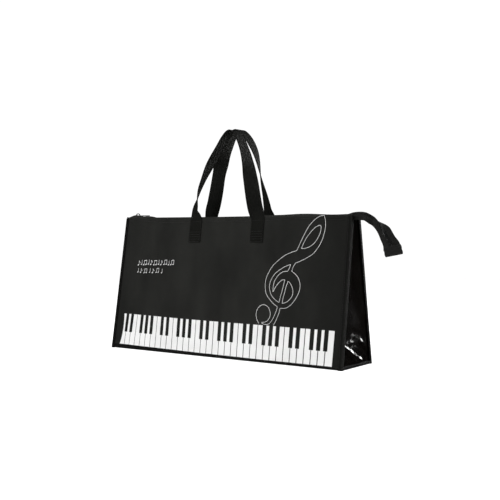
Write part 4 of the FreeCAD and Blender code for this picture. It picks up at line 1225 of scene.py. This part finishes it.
heap = Heap()
L2, W2 = 7.0, 4.6
plate = round_outline([(SLIDER_X - L2, -W2 + 1.2), (SLIDER_X - L2 + 1.6, -W2), (SLIDER_X + L2 - 1.0, -W2), (SLIDER_X + L2, -W2 + 0.9),
                       (SLIDER_X + L2, W2 - 0.9), (SLIDER_X + L2 - 1.0, W2), (SLIDER_X - L2 + 1.6, W2), (SLIDER_X - L2, W2 - 1.2)], 1.2)
outline_block(heap, plate, [(233.8, 0.25), (233.95, 0.05), (234.4, 0.0), (234.75, 0.2), (235.0, 0.8), (235.05, 2.0)])
outline_block(heap, plate, [(229.0, 0.7), (229.15, 0.25), (229.5, 0.0), (230.05, 0.05), (230.2, 0.25)])
rounded_block(heap, (SLIDER_X - 6.0, -1.5, 230.15), (SLIDER_X - 2.0, 1.5, 233.85), 0.3)
for sy in (-1, 1):
    y0, y1 = sorted((sy * 3.6, sy * 4.6))
    rounded_block(heap, (SLIDER_X - 5.4, y0, 230.15), (SLIDER_X + 5.4, y1, 231.25), 0.25)
    rounded_block(heap, (SLIDER_X - 5.4, y0, 232.75), (SLIDER_X + 5.4, y1, 233.85), 0.25)
# the arched bridge over the top plate
bridge = [(-4.0, 234.9), (-3.95, 236.8), (-3.5, 238.5), (-2.2, 239.5), (0.0, 239.8), (2.2, 239.3), (3.5, 238.0), (3.95, 236.6), (4.0, 234.9)]
bp = smooth_path([(SLIDER_X + a, 0.0, b) for a, b in bridge], 0.5, 1)
bt = unit(np.gradient(bp, axis=0))
v = []
for p, t in zip(bp, bt):
    n = np.cross([0, 1, 0], t)
    for a in range(10):
        q = 2 * PI * a / 10
        v.append(p + np.array([0, 1, 0]) * math.cos(q) * 1.3 + n * math.sin(q) * 0.75)
v = np.array(v)
heap.add(v, turned(v, ring_faces(len(bp), 10)))
slider = heap.build("cast_zip_slider", mats=[MAT["zip_metal"]], slot="zip_metal", sharp=45, body="slider")
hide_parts("zip_slider")

# pull: a tapering tab with a window round the bridge, a raised rim and a grip rib
PIVOT = 236.15
heap = Heap()
half = lambda x: 3.5 - 0.5 * np.clip((x - 6.0) / 21.0, 0, 1)
cols = np.concatenate([np.linspace(-0.7, 6.0, 10), np.linspace(6.6, 24.2, 16), [25.0, 25.7, 26.3, 26.75, 27.0]])
tips = np.array([float(half(x)) * (1.0 if x < 24.0 else math.sqrt(max(0.04, 1 - ((x - 24.0) / 3.02) ** 2))) for x in cols])
shares = np.array([-1, -0.86, -0.5, -0.46, -0.2, 0.2, 0.46, 0.5, 0.86, 1.0])
X = np.broadcast_to(cols[:, None], (len(cols), len(shares)))
Y = tips[:, None] * shares[None, :]
rim = 0.16 * (np.abs(shares)[None, :] > 0.8) + 0.16 * ((X > 13) & (X < 21) & (np.abs(shares)[None, :] < 0.3))
soft = np.where(np.abs(shares)[None, :] > 0.95, -0.22, 0.0)
T = 0.54 + rim + soft
top = np.stack([X + SLIDER_X, Y, PIVOT + T], -1)
low = np.stack([X + SLIDER_X, Y, PIVOT - T], -1)
mask = np.ones((len(cols) - 1, len(shares) - 1), bool)
for i in range(len(cols) - 1):
    if 0.6 < 0.5 * (cols[i] + cols[i + 1]) < 6.0:
        mask[i, 3:6] = False
        mask[i, 2] = True
v, f = masked_slab(top, low, mask)
heap.add(v, turned(v, f))
pull = heap.build("enamel_zip_pull", mats=[MAT["zip_metal"]], slot="zip_metal", sharp=40, body="pull")
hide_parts("zip_pull")

# ------------------------------------------------------------------ free tail of the zip
TAIL = [
    # x, y, z, fold of the two tapes, share of the twist, angles of the front and the back tape once twisted
    (208.0, 0.0, 232.0, 0, 0.0, 0, 70), (212.0, 0.0, 232.6, 8, 0.0, 0, 70), (216.0, 0.0, 234.0, 24, 0.0, 0, 70), (220.0, 0.0, 235.6, 42, 0.0, 0, 70), (224.0, 0.0, 236.8, 54, 0.0, 0, 70),
    (228.5, 0.0, 237.6, 62, 0.0, 0, 70), (233.5, 0.0, 238.0, 67, 0.0, 0, 70), (238.6, 0.0, 238.1, 70, 0.0, 0, 70), (243.6, 0.0, 237.7, 72, 0.0, 0, 70), (249.2, -0.1, 236.4, 72, 0.15, 0, 70), (255.0, -0.2, 233.6, 71, 0.5, 20, 70),
    (261.6, -0.4, 229.8, 70, 0.85, 48, 64), (267.4, -0.7, 223.6, 70, 1.0, 62, 52), (272.4, -1.1, 216.8, 70, 1.0, 68, 32), (276.4, -1.5, 209.8, 70, 1.0, 68, 12),
    (280.0, -1.9, 203.0, 70, 1.0, 64, 2), (284.4, -2.3, 197.0, 70, 1.0, 58, 0), (288.8, -2.6, 192.2, 70, 1.0, 36, 0), (291.6, -2.8, 188.4, 70, 1.0, 10, 0), (293.0, -3.0, 184.8, 70, 1.0, 0, 0),
]
END = np.array([0.813, 0.582, 0.0])
tp = smooth_path(np.array(TAIL, float), 1.0, 4)
c = tp[:, :3]
tan = unit(np.gradient(c, axis=0))
fold, turn_ = np.radians(tp[:, 3]), tp[:, 4]
across = unit(END - tan * (tan @ END)[:, None])
away = unit(np.cross(tan, across))
away = np.where(away[:, 1:2] < 0, -away, away)


def tail_width(side):
    """Direction of one tape, from the teeth outwards: folded down like a roof at first, then twisting towards its end."""
    a = np.radians(tp[:, 5] if side < 0 else tp[:, 6])[:, None]
    roof = np.stack([np.zeros(len(tp)), side * np.cos(fold), -np.sin(fold)], 1)
    w = roof * (1 - turn_[:, None]) + (side * across * np.cos(a) + away * np.sin(a)) * turn_[:, None]
    w = w - tan * (w * tan).sum(1, keepdims=True)
    return unit(w)


wf, wb = tail_width(-1), tail_width(1)
s = np.r_[0, np.cumsum(np.linalg.norm(np.diff(c, axis=0), axis=1))]
inside = c[:, 0] < 231.5
for side, w, name in ((-1, wf, "tail_front_tape"), (1, wb, "tail_back_tape")):
    nrm = unit(np.cross(tan, w)) * (1 if side > 0 else -1)
    nrm = np.where((nrm[:, 2:3] + 0.5 * nrm[:, 0:1]) < 0, -nrm, nrm)
    sh = np.linspace(0, 1, 11)
    wide = 6.2 + 4.2 * step((c[:, 0] - 212.0) / 12.0)
    rows_o, rows_i = [], []
    for i in range(len(c)):
        reach = 0.3 + (wide[i] + 2.0) * sh
        curl = 0.5 * np.sin(s[i] / 6.3 + side) * sh**2 - 0.5 * np.sin(PI * sh) - 1.2 * np.exp(-(reach / 2.6) ** 4)
        base = c[i] + w[i] * reach[:, None] + nrm[i] * curl[:, None]
        rows_o.append(base + nrm[i] * TAPE_T / 2)
        rows_i.append(base - nrm[i] * TAPE_T / 2)
    o, i2 = np.array(rows_o), np.array(rows_i)
    tuv = np.stack([np.broadcast_to(sh * 10.4, o.shape[:2]), np.broadcast_to(s[:, None], o.shape[:2])], -1)
    t = slab("woven_" + name, o, i2, tuv, mats=[MAT["zip_tape"]], slot="zip_tape", sharp=50, body=None)
    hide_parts(name)
    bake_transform(t)

heap = Heap()
ridge = unit(wb - wf)
up = unit(np.cross(tan, ridge))
up = np.where(up[:, 2:3] < 0, -up, up)
q = 6.0
while q < s[-1] - 0.5:
    for side, shift, wd in ((-1, 0.0, wf), (1, PITCH / 2, wb)):
        d = min(q + shift, s[-1])
        at = lambda a: np.array([np.interp(d, s, a[:, i]) for i in range(3)])
        b = at(wd)
        n = np.cross(at(tan), b)
        tooth(heap, at(c) + 0.12 * b, at(tan), b, n, side, 0)
    q += PITCH
t = heap.build("coil_tail_teeth", mats=[MAT["zip_teeth"]], slot="zip_teeth", sharp=50, body=None)
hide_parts("tail_teeth")
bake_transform(t)

# end tab: a folded square of cloth sewn over the tape's end
ce, we = c[-1], unit(END + np.array([0.0, 0.0, 0.08]) - tan[-1] * (tan[-1] @ END) * 0.5)
te = unit(tan[-1] - we * (tan[-1] @ we))
ne = unit(np.cross(te, we))
if ne[1] > 0:
    ne = -ne
ss = np.linspace(-2.4, 12.6, 18)
rings, uvs, wr = [], [], []
for k, a in enumerate(ss):
    close = min((a + 2.4) / 1.2, (12.6 - a) / 1.6, 1.0)
    th = 1.5 * (0.55 + 0.45 * math.sqrt(max(0.0, 1 - (1 - max(close, 0.0)) ** 2)))
    wd = 13.7 - 0.5 * (1 - max(close, 0.0)) ** 2 + 0.25 * math.sin(a * 0.9)
    m = 22
    for j in range(m):
        t_ = 2 * PI * j / m
        cs, sn = math.cos(t_), math.sin(t_)
        x_ = wd * np.sign(cs) * abs(cs) ** 0.35
        y_ = th * np.sign(sn) * abs(sn) ** 0.55 + 0.35 * math.sin(x_ / 5.0 + a / 4.0)
        rings.append(ce + te * a + we * x_ + ne * y_)
        uvs.append((x_ + 20, a + (40 if sn < 0 else 0)))
        wr.append(0.7 if abs(cs) > 0.93 or close < 0.6 else 0.0)
tab = make("folded_tail_end_tab", np.array(rings), ring_faces(len(ss), m), uv=np.array(uvs), wear=wr, mats=[MAT["tab_cloth"]], slot="panel_cloth", sharp=60, body="tail")
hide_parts("tail_end_tab")
heap = Heap()
for path in ([(-11.8, 1.2), (11.8, 1.2)], [(-11.8, 10.8), (11.8, 10.8)], [(-11.8, 1.2), (-11.8, 10.8)], [(11.8, 1.2), (11.8, 10.8)]):
    for face in (1, -1):
        (x0, a0), (x1, a1) = path
        tt = np.linspace(0, 1, 8)
        xx, aa = x0 + (x1 - x0) * tt, a0 + (a1 - a0) * tt
        p = ce + te * aa[:, None] + we * xx[:, None] + ne * (face * 1.42 + 0.35 * np.sin(xx / 5.0 + aa / 4.0))[:, None]
        stitch_line(heap, p, np.broadcast_to(ne * face, p.shape), 2.6, 0.76, 0.5, 0.4)
t = heap.build("thread_tail_tab", mats=[MAT["thread"]], slot="thread", sharp=70, body="tail")

# ------------------------------------------------------------------ what stays of the CAD
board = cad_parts["base_board"]
board.data.materials.clear()
board.data.materials.append(MAT["base_board"])
for n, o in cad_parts.items():
    if n != "base_board" and not o.hide_render:
        print("still shown:", n)
        o.data.materials.clear()
        o.data.materials.append(MAT["panel_cloth"])

# ------------------------------------------------------------------ stage and light
ang = np.linspace(0, 2 * PI, 73)[:-1]
fv = [(0.0, 0.0, -0.0003)] + [(2.6 * math.cos(a), 2.6 * math.sin(a), -0.0003) for a in ang]
fme = bpy.data.meshes.new("floor")
fme.from_pydata(fv, [], [(0, i + 1, (i + 1) % 72 + 1) for i in range(72)])
floor = bpy.data.objects.new("floor", fme)
bpy.context.scene.collection.objects.link(floor)
fm, fnt, fb = new_material("floor_white")
fn = noise(fnt, 3.0, 2.0)
fnt.links.new(mix_colour(fnt, fn, (0.90, 0.90, 0.90), (0.93, 0.93, 0.93)), fb.inputs["Base Color"])
fb.inputs["Roughness"].default_value = 0.9
fb.inputs["Specular IOR Level"].default_value = 0.1
fb.inputs["Emission Color"].default_value = (1.0, 1.0, 1.0, 1.0)
fb.inputs["Emission Strength"].default_value = 0.86
fme.materials.append(fm)
floor.visible_glossy = False

world = bpy.data.worlds.new("studio")
bpy.context.scene.world = world
world.use_nodes = True
wnt = world.node_tree
for n in list(wnt.nodes):
    wnt.nodes.remove(n)
wout = wnt.nodes.new("ShaderNodeOutputWorld")
white = wnt.nodes.new("ShaderNodeBackground")
white.inputs[0].default_value = (1, 1, 1, 1)
white.inputs[1].default_value = 1.05
dim = wnt.nodes.new("ShaderNodeBackground")
dim.inputs[0].default_value = (1, 1, 1, 1)
dim.inputs[1].default_value = 0.016
path_ = wnt.nodes.new("ShaderNodeLightPath")
mixs = wnt.nodes.new("ShaderNodeMixShader")
wnt.links.new(path_.outputs["Is Camera Ray"], mixs.inputs[0])
wnt.links.new(dim.outputs[0], mixs.inputs[1])
wnt.links.new(white.outputs[0], mixs.inputs[2])
wnt.links.new(mixs.outputs[0], wout.inputs[0])


def area(name, where, target, size, power, wide=None):
    d = bpy.data.lights.new(name, "AREA")
    d.shape = "RECTANGLE"
    d.size = size
    d.size_y = wide or size
    d.energy = power
    o = bpy.data.objects.new(name, d)
    bpy.context.scene.collection.objects.link(o)
    o.location = where
    o.rotation_euler = (Vector(target) - Vector(where)).to_track_quat("-Z", "Y").to_euler()
    return o


area("key", (-1.45, -2.1, 1.25), (0, 0, 0.15), 0.9, 39, 0.9)
area("fill", (1.1, -2.4, 0.8), (0, 0, 0.12), 1.2, 8, 1.2)
area("top", (0.0, -0.3, 2.2), (0, 0, 0.1), 1.8, 14, 1.8)
area("side", (1.35, 1.0, 0.66), (0.22, 0, 0.06), 0.36, 17, 0.7)
area("streaks", (0.73, 1.86, 0.47), (0.23, 0, 0.03), 0.8, 15, 0.4)
area("behind", (0.35, 2.4, 0.7), (0.1, 0, 0.15), 1.0, 3.5, 0.8)

bpy.context.scene.view_settings.view_transform = "Standard"
bpy.context.scene.view_settings.look = "None"

# ------------------------------------------------------------------ size
low, high = CAD_BOX
